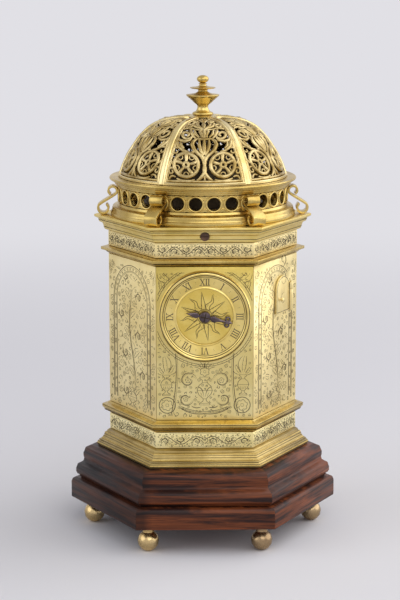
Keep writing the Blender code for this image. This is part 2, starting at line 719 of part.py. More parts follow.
def build_case_rings():
    inner = straight_inside(WALL_R - BASE_LEDGE, BASE_LOW, BASE_HEIGHT)
    mesh = hex_ring(BASE_SHARES, WALL_R, BASE_REACH, BASE_LOW, BASE_HEIGHT, inner)
    put("base_moulding", mesh, "gilt", GILT)

    plate_r = CASE_INNER_R - SEAT_GAP
    mesh = prism(circle(plate_r, SIDES), LOWER_FRIEZE_LOW, FLOOR_TOP,
                 [bore(HAMMER_ARBOR_R, *hammer_place())])
    put("bottom_plate", mesh, "movement_brass", PALE_GILT)

    flat = (("line", 0.0, 0.0), ("line", 0.0, 1.0))
    friezes = (
        ("lower_frieze", LOWER_FRIEZE_LOW, LOWER_FRIEZE_HEIGHT),
        ("upper_frieze", UPPER_FRIEZE_LOW, UPPER_FRIEZE_HEIGHT),
    )
    for name, low, height in friezes:
        inner = straight_inside(CASE_INNER_R, low, height)
        put(name, hex_ring(flat, WALL_R, 0, low, height, inner), "engraved_gilt", ENGRAVED)

    strings = (
        ("lower_string", LOWER_STRING_SHARES, LOWER_STRING_LOW, LOWER_STRING_HEIGHT),
        ("upper_string", UPPER_STRING_SHARES, UPPER_STRING_LOW, UPPER_STRING_HEIGHT),
    )
    for name, shares, low, height in strings:
        inner = straight_inside(WALL_R - RING_WALL, low, height)
        put(name, hex_ring(shares, WALL_R, STRING_REACH, low, height, inner), "gilt", GILT)


def build_cornice():
    """The cornice, rebated over the bell plate, with its screw in front."""
    plate_r = CASE_INNER_R + BELL_PLATE_LAP
    rebate_r = plate_r + SEAT_GAP
    rebate_top = CORNICE_LOW + BELL_PLATE_THICK + SEAT_GAP
    top = CORNICE_LOW + CORNICE_HEIGHT
    throat_r = WALL_R - CORNICE_LEDGE
    inner = [(throat_r, top), (throat_r, rebate_top), (rebate_r, rebate_top), (rebate_r, CORNICE_LOW)]
    mesh = hex_ring(CORNICE_SHARES, WALL_R, CORNICE_REACH, CORNICE_LOW, CORNICE_HEIGHT, inner)
    screw_z = CORNICE_LOW + CORNICE_HEIGHT * SCREW_HEIGHT_SHARE
    face = (WALL_R + CORNICE_REACH * SCREW_HEIGHT_SHARE) * FLAT_SHARE
    seat_r = SCREW_HEAD_R + SEAT_GAP
    facing = Matrix.Translation((0, -face, screw_z)) @ Matrix.Rotation(math.pi / 2, 4, "X")
    reach = face - throat_r * FLAT_SHARE
    shank_hole = carried(rod(SCREW_SHANK_R + SEAT_GAP, -reach - OVERRUN, OVERRUN), facing)
    seat = carried(rod(seat_r, -SCREW_HEAD_THICK / 2, CORNICE_REACH, ROUND_STEPS // 2), facing)
    put("cornice", cut(mesh, [fused([shank_hole, seat])]), "gilt", GILT)

    head_low = SEAT_GAP - SCREW_HEAD_THICK / 2
    head = rod(SCREW_HEAD_R, head_low, head_low + SCREW_HEAD_THICK, ROUND_STEPS // 2)
    shank = rod(SCREW_SHANK_R, SEAT_GAP - reach, head_low + OVERRUN / 2)
    half = SCREW_SLOT / 2
    across = SCREW_HEAD_R + OVERRUN
    slot = prism([(-across, -half), (across, -half), (across, half), (-across, half)],
                 head_low + SCREW_HEAD_THICK - SCREW_SLOT, head_low + SCREW_HEAD_THICK + OVERRUN)
    screw = cut(fused([head, shank]), [slot])
    put("cornice_screw", screw, "blued_steel", BLUED, (0, -face, screw_z), (math.pi / 2, 0, 0))
    return plate_r


# Panels and shutter


def panel_stock(holes=()):
    """One upright plate, mitred along its sides, in a face's frame with Z = 0 at its outer side."""
    half_out = WALL_R / 2 - SEAT_GAP / 2 / FLAT_SHARE
    half_in = half_out - PANEL_WALL * math.tan(math.pi / SIDES)
    near = [(-half_in, PANEL_LOW), (half_in, PANEL_LOW),
            (half_in, PANEL_LOW + PANEL_HEIGHT), (-half_in, PANEL_LOW + PANEL_HEIGHT)]
    far = [(math.copysign(half_out, x), y) for x, y in near]
    return prism(near, -PANEL_WALL, 0, holes, far)


def arched(width, low, height, margin=0.0):
    """A round-headed outline about x = 0, drawn in by margin."""
    radius = width / 2 - margin
    spring = low + height - width / 2
    points = [(radius, low + margin)]
    for k in range(SHUTTER_ARC_STEPS + 1):
        turn = math.pi * k / SHUTTER_ARC_STEPS
        points.append((radius * math.cos(turn), spring + radius * math.sin(turn)))
    return points + [(-radius, low + margin)]


def build_panels():
    face = WALL_R * FLAT_SHARE
    hinge_x = SHUTTER_ACROSS + SHUTTER_WIDTH / 2 + HINGE_R
    split = SHUTTER_LOW + HINGE_HEIGHT * HINGE_SPLIT_SHARE
    hole = [(x + SHUTTER_ACROSS, y) for x, y in
            arched(SHUTTER_WIDTH, SHUTTER_LOW, SHUTTER_HEIGHT, SHUTTER_HOLE_MARGIN)]
    upright = Matrix.Rotation(-math.pi / 2, 4, "X")
    hinge_z = HINGE_R + SEAT_GAP
    knuckle = prism(circle(HINGE_R), split + SEAT_GAP, SHUTTER_LOW + HINGE_HEIGHT,
                    [bore(HINGE_PIN_R)])
    knuckle = carried(knuckle, Matrix.Translation((hinge_x, 0, hinge_z)) @ upright)
    root_low, root_high = split + SEAT_GAP, SHUTTER_LOW + HINGE_HEIGHT
    root = prism([(hinge_x - HINGE_R / 2, root_low), (hinge_x + HINGE_R / 2, root_low),
                  (hinge_x + HINGE_R / 2, root_high), (hinge_x - HINGE_R / 2, root_high)],
                 -PANEL_WALL / 2, hinge_z - HINGE_PIN_R - RUN_GAP * 2)
    stocks = {
        "panel_front": panel_stock([circle(HAND_ARBOR_R + SWING_GAP, SMALL_STEPS, 0, DIAL_Z)]),
        "panel_front_right": fused([panel_stock([hole]), knuckle, root]),
        "panel_back_right": panel_stock(),
        "panel_back": panel_stock([circle(WINDING_HOLE_R, SMALL_STEPS, 0, BARREL_Z)]),
        "panel_back_left": panel_stock(),
        "panel_front_left": panel_stock(),
    }
    for k, (name, mesh) in enumerate(stocks.items()):
        carried(mesh, Matrix.Rotation(math.pi / 2, 4, "X"))
        turn = TAU * k / SIDES
        place = (face * math.sin(turn), -face * math.cos(turn), 0)
        put(name, mesh, "engraved_gilt", ENGRAVED, place, (0, 0, turn))
    build_shutter(face, hinge_x, hinge_z, split)


def build_shutter(face, hinge_x, hinge_z, split):
    """A round-headed leaf, drawn from its hinge, with its knuckle and knob, and the hinge's pin."""
    lift = -hinge_z + SEAT_GAP
    leaf = prism([(x - SHUTTER_WIDTH / 2 - HINGE_R, y) for x, y in
                  arched(SHUTTER_WIDTH, SHUTTER_LOW, SHUTTER_HEIGHT)], lift, lift + SHUTTER_THICK)
    upright = Matrix.Rotation(-math.pi / 2, 4, "X")
    knuckle = prism(circle(HINGE_R), SHUTTER_LOW, split, [bore(HINGE_PIN_R)])
    carried(knuckle, upright)
    edge, beside = -HINGE_R - OVERRUN, -HINGE_PIN_R - RUN_GAP * 2
    foot, head = SHUTTER_LOW + OVERRUN, split - OVERRUN
    strap = prism([(edge, foot), (beside, foot), (beside, head), (edge, head)],
                  *(lift + SHUTTER_THICK * share for share in STRAP_SHARES))
    knob_x = -HINGE_R - SHUTTER_WIDTH * SHUTTER_KNOB_ACROSS_SHARE
    knob_y = SHUTTER_LOW + SHUTTER_HEIGHT * SHUTTER_KNOB_HEIGHT_SHARE
    top = lift + SHUTTER_THICK
    root = top - SHUTTER_THICK / 2
    side = bent(KNOB_SHARES, 0, SHUTTER_KNOB_R, top, SHUTTER_KNOB_RISE)
    knob = turned([(0, root), (side[0][0], root)] + side, SMALL_STEPS)
    carried(knob, Matrix.Translation((knob_x, knob_y, 0)))
    mesh = carried(fused([leaf, knuckle, strap, knob]), Matrix.Rotation(math.pi / 2, 4, "X"))
    turn = TAU / SIDES
    out, along = face + hinge_z, hinge_x
    place = (out * math.sin(turn) + along * math.cos(turn),
             -out * math.cos(turn) + along * math.sin(turn), 0)
    put("shutter", mesh, "gilt", GILT, place, (0, 0, turn))
    pin = rod(HINGE_PIN_R, SHUTTER_LOW - HINGE_PIN_R, SHUTTER_LOW + HINGE_HEIGHT + HINGE_PIN_R)
    put("shutter_hinge_pin", pin, "gilt", GILT, place)


# Gallery, brackets, dome and finial


def build_gallery():
    inner_r = DRUM_R - DRUM_WALL
    outline = bent(GALLERY_SHARES, DRUM_R, GALLERY_REACH, GALLERY_LOW, GALLERY_BASE_HEIGHT)
    inner = straight_inside(inner_r, GALLERY_LOW, GALLERY_BASE_HEIGHT)
    put("gallery_base", turned(outline + inner, ROUND_STEPS), "gilt", GILT)
    put("gallery_drum", drum_mesh(inner_r), "gilt", GILT)
    outline = bent(FLANGE_SHARES, DRUM_R, FLANGE_REACH, FLANGE_LOW, FLANGE_HEIGHT)
    inner = straight_inside(inner_r, FLANGE_LOW, FLANGE_HEIGHT)
    put("dome_flange", turned(outline + inner, ROUND_STEPS), "gilt", GILT)


def drum_mesh(inner_r):
    """A short tube with a round hole in the middle of each of its equal cells."""
    cell = TAU / DRUM_HOLES
    middle = DRUM_LOW + DRUM_HEIGHT / 2
    ring = DRUM_HOLE_STEPS
    vertices, faces = [], []
    per_side = DRUM_HOLES * 2
    for radius in (DRUM_R, inner_r):
        for k in range(DRUM_HOLES):
            turn = cell * k
            for height in (DRUM_LOW, DRUM_LOW + DRUM_HEIGHT):
                vertices.append((radius * math.cos(turn), radius * math.sin(turn), height))
        for k in range(DRUM_HOLES):
            for step in range(ring):
                way = TAU * (step + 0.5) / ring - math.pi * 3 / 4
                turn = cell * (k + 0.5) + DRUM_HOLE_R * math.cos(way) / DRUM_R
                height = middle + DRUM_HOLE_R * math.sin(way)
                vertices.append((radius * math.cos(turn), radius * math.sin(turn), height))
    side = per_side + DRUM_HOLES * ring
    for k in range(DRUM_HOLES):
        after = (k + 1) % DRUM_HOLES
        corners = (k * 2, after * 2, after * 2 + 1, k * 2 + 1)
        hole = [per_side + k * ring + step for step in range(ring)]
        for quarter in range(4):
            first = quarter * 2
            arc = [hole[(first + step) % ring] for step in range(3)]
            here, ahead = corners[quarter], corners[(quarter + 1) % 4]
            web = [(here, arc[1], arc[0]), (here, ahead, arc[1]), (ahead, arc[2], arc[1])]
            faces += web
            faces += [tuple(side + v for v in reversed(face)) for face in web]
        for step in range(ring):
            a, b = hole[step], hole[(step + 1) % ring]
            faces.append((a, b, b + side, a + side))
        faces.append((corners[1], corners[0], corners[0] + side, corners[1] + side))
        faces.append((corners[3], corners[2], corners[2] + side, corners[3] + side))
    return mesh_of(vertices, faces)


def bracket_line():
    """The middle line of an S scroll, as (radius, height), from its upper free end."""
    half = BRACKET_THICK / 2
    upper = Vector((DRUM_R + SEAT_GAP + half + UPPER_CURL_R, FLANGE_LOW - UPPER_CURL_R - half))
    lower = Vector((DRUM_R + LOWER_CURL_OUT, GALLERY_LOW + LOWER_CURL_R + half))
    between = lower - upper
    lean = math.atan2(between.y, between.x)
    normal = lean - math.acos((UPPER_CURL_R + LOWER_CURL_R) / between.length)
    first, last = UPPER_CURL_START, TAU + normal
    turns = [first + (last - first) * k / CURL_STEPS for k in range(CURL_STEPS + 1)]
    line = [upper + UPPER_CURL_R * Vector((math.cos(t), math.sin(t))) for t in turns]
    first, last = normal + math.pi, LOWER_CURL_END
    turns = [first + (last - first) * k / CURL_STEPS for k in range(CURL_STEPS + 1)]
    return line + [lower + LOWER_CURL_R * Vector((math.cos(t), math.sin(t))) for t in turns]


def ribbon(line, thick):
    """The outline of a strip of even thickness along a middle line."""
    left, right = [], []
    for k, point in enumerate(line):
        ahead = line[min(k + 1, len(line) - 1)] - line[max(k - 1, 0)]
        side = Vector((-ahead.y, ahead.x)).normalized() * thick / 2
        left.append(tuple(point + side))
        right.append(tuple(point - side))
    return left + right[::-1]


def build_brackets():
    mesh = prism(ribbon(bracket_line(), BRACKET_THICK), -BRACKET_WIDTH / 2, BRACKET_WIDTH / 2)
    carried(mesh, Matrix.Rotation(math.pi / 2, 4, "X"))
    for k in range(SIDES):
        put(f"scroll_bracket_{k + 1}", mesh, "gilt", GILT, turn=(0, 0, TAU * k / SIDES))


def smooth_line(points, per_span):
    """A curve through points, worked out by Catmull and Rom's rule."""
    padded = [points[0] * 2 - points[1]] + points + [points[-1] * 2 - points[-2]]
    line = []
    for a, b, c, d in zip(padded, padded[1:], padded[2:], padded[3:]):
        for step in range(per_span):
            t = step / per_span
            line.append(((b * 2) + (c - a) * t + (a * 2 - b * 5 + c * 4 - d) * t * t
                         + (b * 3 - a - c * 3 + d) * t * t * t) / 2)
    return line + [points[-1]]


class DomeCurve:
    """The dome's outer curve, read by the length along it from its foot."""

    def __init__(self):
        points = [Vector((DOME_R * out, DOME_HEIGHT * up)) for out, up in DOME_SHARES]
        self.line = smooth_line(points, DOME_SPAN_STEPS)
        self.marks = [0.0]
        for a, b in zip(self.line, self.line[1:]):
            self.marks.append(self.marks[-1] + (b - a).length)
        self.length = self.marks[-1]

    def at(self, along, depth=0.0):
        """Radius and height, depth below the surface."""
        k = 1
        while k < len(self.marks) - 1 and self.marks[k] < along:
            k += 1
        a, b = self.line[k - 1], self.line[k]
        step = (b - a).normalized()
        point = a + step * (along - self.marks[k - 1])
        before = (a - self.line[max(k - 2, 0)]).normalized() if k > 1 else step
        inward = Vector((-step.y - before.y, step.x + before.x)).normalized()
        return point + inward * depth


def rib_width(curve, along):
    share = along / curve.length
    return RIB_FOOT_WIDTH + (RIB_TOP_WIDTH - RIB_FOOT_WIDTH) * share


def rib_mesh(curve, turn):
    """A rounded strip along the dome's curve."""
    vertices, faces = [], []
    for k in range(RIB_STATIONS):
        along = curve.length * k / (RIB_STATIONS - 1)
        width = rib_width(curve, along)
        for across, deep in RIB_SHARES:
            point = curve.at(along, RIB_THICK * deep)
            vertices.append((point.x, width * across, DOME_LOW + point.y))
    count = len(RIB_SHARES)
    for k in range(RIB_STATIONS - 1):
        for i in range(count):
            a, b = k * count + i, k * count + (i + 1) % count
            faces.append((a, a + count, b + count, b))
    faces.append(tuple(range(count)))
    faces.append(tuple(reversed(range((RIB_STATIONS - 1) * count, RIB_STATIONS * count))))
    mesh = mesh_of(vertices, faces)
    foot = [v for v in mesh.vertices if v.co.z < DOME_LOW]
    for vertex in foot:
        vertex.co.z = DOME_LOW
    return carried(mesh, Matrix.Rotation(turn, 4, "Z"))


def build_dome():
    curve = DomeCurve()
    ring_top = DOME_LOW + DOME_RING_HEIGHT
    inside = DOME_R - DOME_RING_WALL
    edge = DOME_R - SEAT_GAP
    ring = turned([(edge, DOME_LOW), (edge, ring_top), (inside, ring_top), (inside, DOME_LOW)],
                  ROUND_STEPS)
    top = DOME_LOW + DOME_HEIGHT
    boss = rod(DOME_BOSS_R, top - DOME_BOSS_THICK, top, ROUND_STEPS // 2)
    ribs = [rib_mesh(curve, TAU * k / SIDES) for k in range(SIDES)]
    put("dome_ribs", fused([ring, boss] + ribs), "pale_gilt", PALE_GILT)

    mesh = pierced_mesh(curve)
    for k in range(SIDES):
        put(f"dome_panel_{k + 1}", mesh, "pierced_gilt", GILT, turn=(0, 0, TAU * k / SIDES))


def pierced_mesh(curve):
    """The openwork between two ribs, drawn flat and bent onto the dome, facing -Y."""
    start = DOME_RING_HEIGHT + SEAT_GAP + PIERCED_THICK / 2
    height = curve.length * PIERCED_TOP_SHARE - start

    def half_width(y):
        along = start + y
        radius = curve.at(along).x
        return radius * math.pi / SIDES - rib_width(curve, along) / 2 - SEAT_GAP

    rows = [height * k / PIERCED_ROWS for k in range(PIERCED_ROWS + 1)]
    right = [(half_width(y), y) for y in rows]
    foot = [(x_share * right[0][0], 0) for x_share in (-0.5, 0, 0.5)]
    outline = foot + right + [(0, height)] + [(-x, y) for x, y in reversed(right)]
    holes = [[(x * height, y * height) for x, y in TOP_PIERCING_SHARES]]
    for points in SIDE_PIERCING_SHARES:
        for way in (1, -1):
            holes.append([(x * height * way, y * height) for x, y in points])
    for way in (1, -1):
        for petal in range(ROSE_PETALS):
            holes.append([(x * height * way, y * height) for x, y in rose_petal(petal)])

    def onto_dome(x, y, deep):
        point = curve.at(start + y, deep)
        turn = x / curve.at(start + y).x - math.pi / 2
        return (point.x * math.cos(turn), point.x * math.sin(turn), DOME_LOW + point.y)

    return prism(outline, PIERCED_DEPTH + PIERCED_THICK, PIERCED_DEPTH, holes, carry=onto_dome)


def rose_petal(petal):
    """One opening of a rose, as shares of the panel's height."""
    middle = TAU * (petal + ROSE_START_SHARE) / ROSE_PETALS
    outer = TAU / ROSE_PETALS / 2 - ROSE_BAR / 2
    inner = outer * ROSE_NECK_SHARE
    points = [(ROSE_OUTER_SHARE, outer * s) for s in (-1, 0, 1)]
    points += [(ROSE_INNER_SHARE, inner * s) for s in (1, -1)]
    x, y = ROSE_CENTRE_SHARES
    return [(x + radius * math.cos(middle + turn), y + radius * math.sin(middle + turn))
            for radius, turn in points]


def build_finial():
    side = bent(FINIAL_SHARES, 0, FINIAL_R, FINIAL_LOW, FINIAL_HEIGHT)
    put("finial", turned([(0, FINIAL_LOW)] + side, ROUND_STEPS // 2), "pale_gilt", PALE_GILT)


# Dial and hand


def build_dial():
    """Bezel and chapter ring in one, the alarm disc inside it, and the hand, drawn from the face."""
    face = WALL_R * FLAT_SHARE
    place = (0, -face, DIAL_Z)
    low = SEAT_GAP
    moulding = bent(BEZEL_SHARES, BEZEL_R - BEZEL_WALL, BEZEL_WALL, low, BEZEL_RISE)
    inner = [(CHAPTER_INNER_R, low + CHAPTER_RISE), (CHAPTER_INNER_R, low)]
    put("dial_ring", turned(moulding + inner, ROUND_STEPS), "gilt", GILT, place, FACING)

    disc = prism(circle(CHAPTER_INNER_R - ALARM_RIM_GAP, ROUND_STEPS), low, low + ALARM_DISC_THICK,
                 [circle(ALARM_HOLE_R, SMALL_STEPS)])
    put("alarm_disc", disc, "engraved_gilt", ENGRAVED, place, FACING)

    hand_low = low + BEZEL_RISE + SWING_GAP
    put("hour_hand", hand_mesh(hand_low), "blued_steel", BLUED, place, (math.pi / 2, HAND_TURN, 0))
    return face, hand_low


def hand_mesh(low):
    """Drawn pointing up, turned about its hub."""
    stem, eye_y = HAND_STEM / 2, HAND_REACH - HAND_EYE_BACK
    right = [(stem * x, HAND_TAIL * y) for x, y in HAND_TAIL_SHARES]
    right += [(HAND_ROOT_HALF, -HAND_ROOT_BACK)]
    right += [(stem * x, eye_y * y) for x, y in HAND_STEM_SHARES] + [(0, HAND_REACH)]
    blade = prism(right + [(-x, y) for x, y in right[-2:0:-1]], low, low + HAND_THICK)
    heights = [low + HAND_THICK * share for share in HAND_EYE_SHARES]
    eye = prism(circle(HAND_EYE_R, SMALL_STEPS, 0, eye_y), *heights,
                [circle(HAND_HOLE_R, LOBE_STEPS, 0, eye_y + HAND_HOLE_AHEAD)])
    heights = [low + HAND_THICK * share for share in HAND_LOBE_SHARES]
    lobes = [rod(HAND_LOBE_R, *heights, LOBE_STEPS, side * HAND_EYE_R, eye_y - HAND_LOBE_BACK)
             for side in (-1, 1)]
    hub_base = low - SWING_GAP / 2
    side = bent(HAND_HUB_SHARES, 0, HAND_HUB_R, low, HAND_HUB_RISE)
    hub = turned([(0, hub_base), (HAND_HUB_R, hub_base)] + side, HUB_STEPS)
    return fused([hub, blade, eye] + lobes)


# Movement


def meshing_turn(teeth, way):
    """The start turn that puts a gap between teeth at way."""
    return way + math.pi / teeth


def plate_outline(low, high):
    half = MOVEMENT_WIDTH / 2
    return [(-half, low), (half, low), (half, high), (-half, high)]


def pillar_places():
    half = MOVEMENT_WIDTH / 2 - PILLAR_INSET
    low = FLOOR_TOP + PILLAR_INSET
    high = MOVEMENT_TOP - PILLAR_INSET
    return [(-half, low), (half, low), (half, high), (-half, high)]


def build_movement(face, hand_low):
    """The plates, the bridge and the wheels. Heights run forwards from the clock's axis."""
    front = face - PANEL_WALL - DIAL_WORK_DEPTH
    inner = front - MOVEMENT_PLATE_THICK
    barrel, second, crown = (0, BARREL_Z), (SECOND_X, SECOND_Z), (CROWN_X, CROWN_Z)
    alarm = (0, ALARM_Z)
    low = FLOOR_TOP + SEAT_GAP
    outline = plate_outline(low, MOVEMENT_TOP)
    holes = [bore(ARBOR_R, *barrel), bore(PIVOT_R, *second), bore(PIVOT_R, *alarm)]
    front_holes = holes + [bore(TENON_R, x, z) for x, z in pillar_places()]
    put("movement_front_plate", prism(outline, inner, front, front_holes), "movement_brass",
        PALE_GILT, turn=FACING)

    back_holes = holes + [bore(PIVOT_R, *crown)]
    stock = [prism(outline, -front, -inner, back_holes)]
    root = -inner - MOVEMENT_PLATE_THICK / 2
    for x, z in pillar_places():
        stock.append(rod(PILLAR_R, root, inner - SEAT_GAP, SMALL_STEPS, x, z))
        stock.append(rod(TENON_R, inner - OVERRUN, front, SMALL_STEPS, x, z))
    put("movement_back_plate", fused(stock), "movement_brass", PALE_GILT, turn=FACING)

    build_bridge(crown)
    great_low = build_train(inner, front, barrel, second, crown)
    build_escapement(inner, crown)
    build_winding(front, barrel, great_low)
    build_alarm_barrel(inner, front, alarm)
    build_dial_wheel(front, hand_low + face, barrel)


def build_bridge(crown):
    """A bar across the two upper pillars, with a lug for the crown wheel's arbor."""
    posts = pillar_places()[2:]
    half = BRIDGE_WIDTH / 2
    x_end, z = posts[0][0] + half, posts[0][1]
    lug = half
    outline = [(-x_end, z - half), (crown[0] - lug, z - half), (crown[0] - lug, crown[1] - lug),
               (crown[0] + lug, crown[1] - lug), (crown[0] + lug, z - half), (x_end, z - half),
               (x_end, z + half), (-x_end, z + half)]
    holes = [bore(PILLAR_R, *post) for post in posts] + [bore(PIVOT_R, *crown)]
    low = -BRIDGE_SETBACK - BRIDGE_THICK
    put("train_bridge", prism(outline, low, low + BRIDGE_THICK, holes), "movement_brass", PALE_GILT,
        turn=FACING)


def build_train(inner, front, barrel, second, crown):
    second_low = TRAIN_END_ROOM - inner
    great_low = second_low + WHEEL_THICK + WHEEL_SPACE
    barrel_low = great_low + WHEEL_THICK / 2
    barrel_high = barrel_low + BARREL_LENGTH
    pinion_low = front + (DIAL_WORK_DEPTH - PINION_LENGTH) / 2

    eye = [bore(PIVOT_R)]
    great = prism(gear_outline(GREAT_TEETH, SECOND_TURN), great_low, great_low + WHEEL_THICK, eye)
    drum = prism(circle(BARREL_R, ROUND_STEPS // 2), barrel_low, barrel_high, eye)
    pipe = prism(circle(ARBOR_R), barrel_high - OVERRUN, pinion_low + OVERRUN, eye)
    pinion = prism(gear_outline(DIAL_PINION_TEETH, math.pi / 2), pinion_low,
                   pinion_low + PINION_LENGTH, eye)
    put("mainspring_barrel", fused([drum, great, pipe, pinion]), "movement_brass", PALE_GILT,
        (barrel[0], 0, barrel[1]), FACING)

    arbor = rod(ARBOR_R, SEAT_GAP - inner, inner - SEAT_GAP)
    ends = rod(PIVOT_R, -inner - MOVEMENT_PLATE_THICK, inner + MOVEMENT_PLATE_THICK)
    gear = wheel(SECOND_TEETH, CROWN_TURN, second_low)
    leaves_low = great_low + WHEEL_THICK / 2 - PINION_LENGTH / 2
    leaves = wheel(SECOND_PINION_TEETH, meshing_turn(SECOND_PINION_TEETH, SECOND_TURN + math.pi),
                   leaves_low, PINION_LENGTH, False)
    put("second_wheel", fused([arbor, ends, gear, leaves]), "movement_brass", PALE_GILT,
        (second[0], 0, second[1]), FACING)

    bridge_low = -BRIDGE_SETBACK - BRIDGE_THICK
    arbor = rod(ARBOR_R, SEAT_GAP - inner, bridge_low - SEAT_GAP)
    disc_low = -BRIDGE_SETBACK + CROWN_FRONT_GAP
    ends = rod(PIVOT_R, -inner - MOVEMENT_PLATE_THICK, disc_low + OVERRUN / 2)
    leaves_low = second_low + WHEEL_THICK / 2 - PINION_LENGTH / 2
    leaves = wheel(CROWN_PINION_TEETH, meshing_turn(CROWN_PINION_TEETH, CROWN_TURN + math.pi),
                   leaves_low, PINION_LENGTH, False)
    disc = prism(circle(CROWN_R - CROWN_WALL / 2, CROWN_TEETH * 3), disc_low + CROWN_WALL / 2,
                 disc_low + WHEEL_THICK)
    put("crown_wheel", fused([arbor, ends, leaves, disc, crown_mesh(disc_low)]), "movement_brass",
        PALE_GILT, (crown[0], 0, crown[1]), FACING)
    return great_low


def crown_mesh(low):
    """A rim whose front edge is cut into raked teeth."""
    stations = []
    for k in range(CROWN_TEETH):
        start = TAU * k / CROWN_TEETH
        step = TAU / CROWN_TEETH
        rim = low + CROWN_RIM
        stations += [(start, rim), (start + step / 3, rim + CROWN_CUT * CROWN_RAKE_SHARE),
                     (start + step * 2 / 3, rim + CROWN_CUT)]
    inner, outer = CROWN_R - CROWN_WALL, CROWN_R
    vertices = []
    for turn, high in stations:
        for radius, height in ((outer, low), (outer, high), (inner, high), (inner, low)):
            vertices.append((radius * math.cos(turn), radius * math.sin(turn), height))
    faces = []
    count = len(stations)
    for k in range(count):
        here, ahead = k * 4, (k + 1) % count * 4
        for i in range(4):
            after = (i + 1) % 4
            faces.append((here + i, ahead + i, ahead + after, here + after))
    return mesh_of(vertices, faces)


def build_escapement(inner, crown):
    """The verge with its pallets and balance, and the potence that carries it."""
    tips = -BRIDGE_SETBACK + CROWN_FRONT_GAP + CROWN_RIM + CROWN_CUT
    verge_out = tips + VERGE_GAP + VERGE_R
    foot = crown[1] - CROWN_R - PALLET_HEIGHT - POTENCE_THICK
    balance_low = MOVEMENT_TOP + BALANCE_LIFT
    staff = rod(VERGE_R, foot, balance_low + BALANCE_THICK + VERGE_R)
    rim = prism(circle(BALANCE_R, ROUND_STEPS // 2), balance_low, balance_low + BALANCE_THICK,
                [circle(BALANCE_R - BALANCE_RIM, ROUND_STEPS // 2)])
    half = SPOKE_WIDTH / 2
    reach = BALANCE_R - BALANCE_RIM / 2
    arm = prism([(-reach, -half), (reach, -half), (reach, half), (-reach, half)],
                *(balance_low + BALANCE_THICK * share for share in BALANCE_ARM_SHARES))
    stock = [staff, rim, arm]
    for side in (1, -1):
        middle = crown[1] + side * (CROWN_R - PALLET_HEIGHT / 2)
        half = PALLET_THICK / 2
        leaf = prism([(0, -half), (PALLET_LENGTH, -half), (PALLET_LENGTH, half), (0, half)],
                     middle - PALLET_HEIGHT / 2, middle + PALLET_HEIGHT / 2)
        stock.append(carried(leaf, Matrix.Rotation(math.pi / 2 + side * PALLET_LEAN, 4, "Z")))
    put("balance", fused(stock), "iron", IRON, (crown[0], -verge_out, 0))

    arm_end = verge_out - POTENCE_WIDTH / 2
    back = inner - SEAT_GAP
    lower, upper = foot - SEAT_GAP, MOVEMENT_TOP - POTENCE_THICK
    outline = [(arm_end, lower), (back, lower), (back, upper + POTENCE_THICK),
               (arm_end, upper + POTENCE_THICK), (arm_end, upper), (back - POTENCE_THICK, upper),
               (back - POTENCE_THICK, lower + POTENCE_THICK), (arm_end, lower + POTENCE_THICK)]
    frame = carried(prism(outline, -POTENCE_WIDTH / 2, POTENCE_WIDTH / 2),
                    Matrix.Rotation(-math.pi / 2, 4, "Z") @ Matrix.Rotation(math.pi / 2, 4, "X"))
    carried(frame, Matrix.Translation((crown[0], 0, 0)))
    bore = carried(rod(VERGE_R + RUN_GAP, foot - SEAT_GAP / 2, MOVEMENT_TOP + OVERRUN),
                   Matrix.Translation((crown[0], -verge_out, 0)))
    put("verge_potence", cut(frame, [bore]), "movement_brass", PALE_GILT)


def build_winding(front, barrel, great_low):
    """The arbor through the barrel, with its ratchet and the square that a key turns."""
    pinion_high = front + (DIAL_WORK_DEPTH + PINION_LENGTH) / 2
    shaft = rod(PIVOT_R, -front, pinion_high)
    ratchet_low = great_low - SWING_GAP - WHEEL_THICK
    points = []
    for k in range(RATCHET_TEETH):
        turn = TAU * k / RATCHET_TEETH
        points.append((RATCHET_R * math.cos(turn), RATCHET_R * math.sin(turn)))
        ahead = turn + TAU / RATCHET_TEETH * RATCHET_LEAN_SHARE
        root = RATCHET_R - RATCHET_DEPTH
        points.append((root * math.cos(ahead), root * math.sin(ahead)))
    ratchet = prism(points, ratchet_low, ratchet_low + WHEEL_THICK)
    body = rod(ARBOR_R, -front - OVERRUN, ratchet_low + OVERRUN / 2)
    square = prism(circle(WINDING_SQUARE / math.sqrt(2), 4, start_turn=math.pi / 4),
                   -front - WINDING_REACH, -front - OVERRUN / 2)
    put("winding_arbor", fused([shaft, ratchet, body, square]), "iron", IRON,
        (barrel[0], 0, barrel[1]), FACING)


def build_alarm_barrel(inner, front, place):
    """A second barrel whose pins lift the hammer, wound by its own square."""
    low = TRAIN_END_ROOM - inner
    high = low + ALARM_BARREL_LENGTH
    ends = rod(PIVOT_R, -front - WINDING_REACH / 2, front)
    arbor = rod(ARBOR_R, SEAT_GAP - inner, inner - SEAT_GAP)
    drum = rod(ALARM_BARREL_R, low, high, ROUND_STEPS // 2)
    wheel_disc = rod(ALARM_WHEEL_R, high - WHEEL_THICK / 2, high + WHEEL_THICK, ROUND_STEPS // 2)
    stock = [ends, arbor, drum, wheel_disc]
    pin_low = high + WHEEL_THICK / 2
    for x, y in circle(ALARM_WHEEL_R - ALARM_PIN_INSET, ALARM_PINS):
        stock.append(rod(ALARM_PIN_R, pin_low, pin_low + ALARM_PIN_LENGTH, PIN_STEPS, x, y))
    put("alarm_barrel", fused(stock), "movement_brass", PALE_GILT, (place[0], 0, place[1]), FACING)


def build_dial_wheel(front, hand_low, barrel):
    """The hour wheel behind the dial, with the arbor that carries the hand."""
    low = front + (DIAL_WORK_DEPTH - WHEEL_THICK) / 2
    gear = wheel(DIAL_WHEEL_TEETH, meshing_turn(DIAL_WHEEL_TEETH, -math.pi / 2), low)
    arbor = rod(HAND_ARBOR_R, low - OVERRUN, hand_low - SWING_GAP)
    put("dial_wheel", fused([gear, arbor]), "movement_brass", PALE_GILT, (0, 0, DIAL_Z), FACING)


# Bell, its post and the hammer


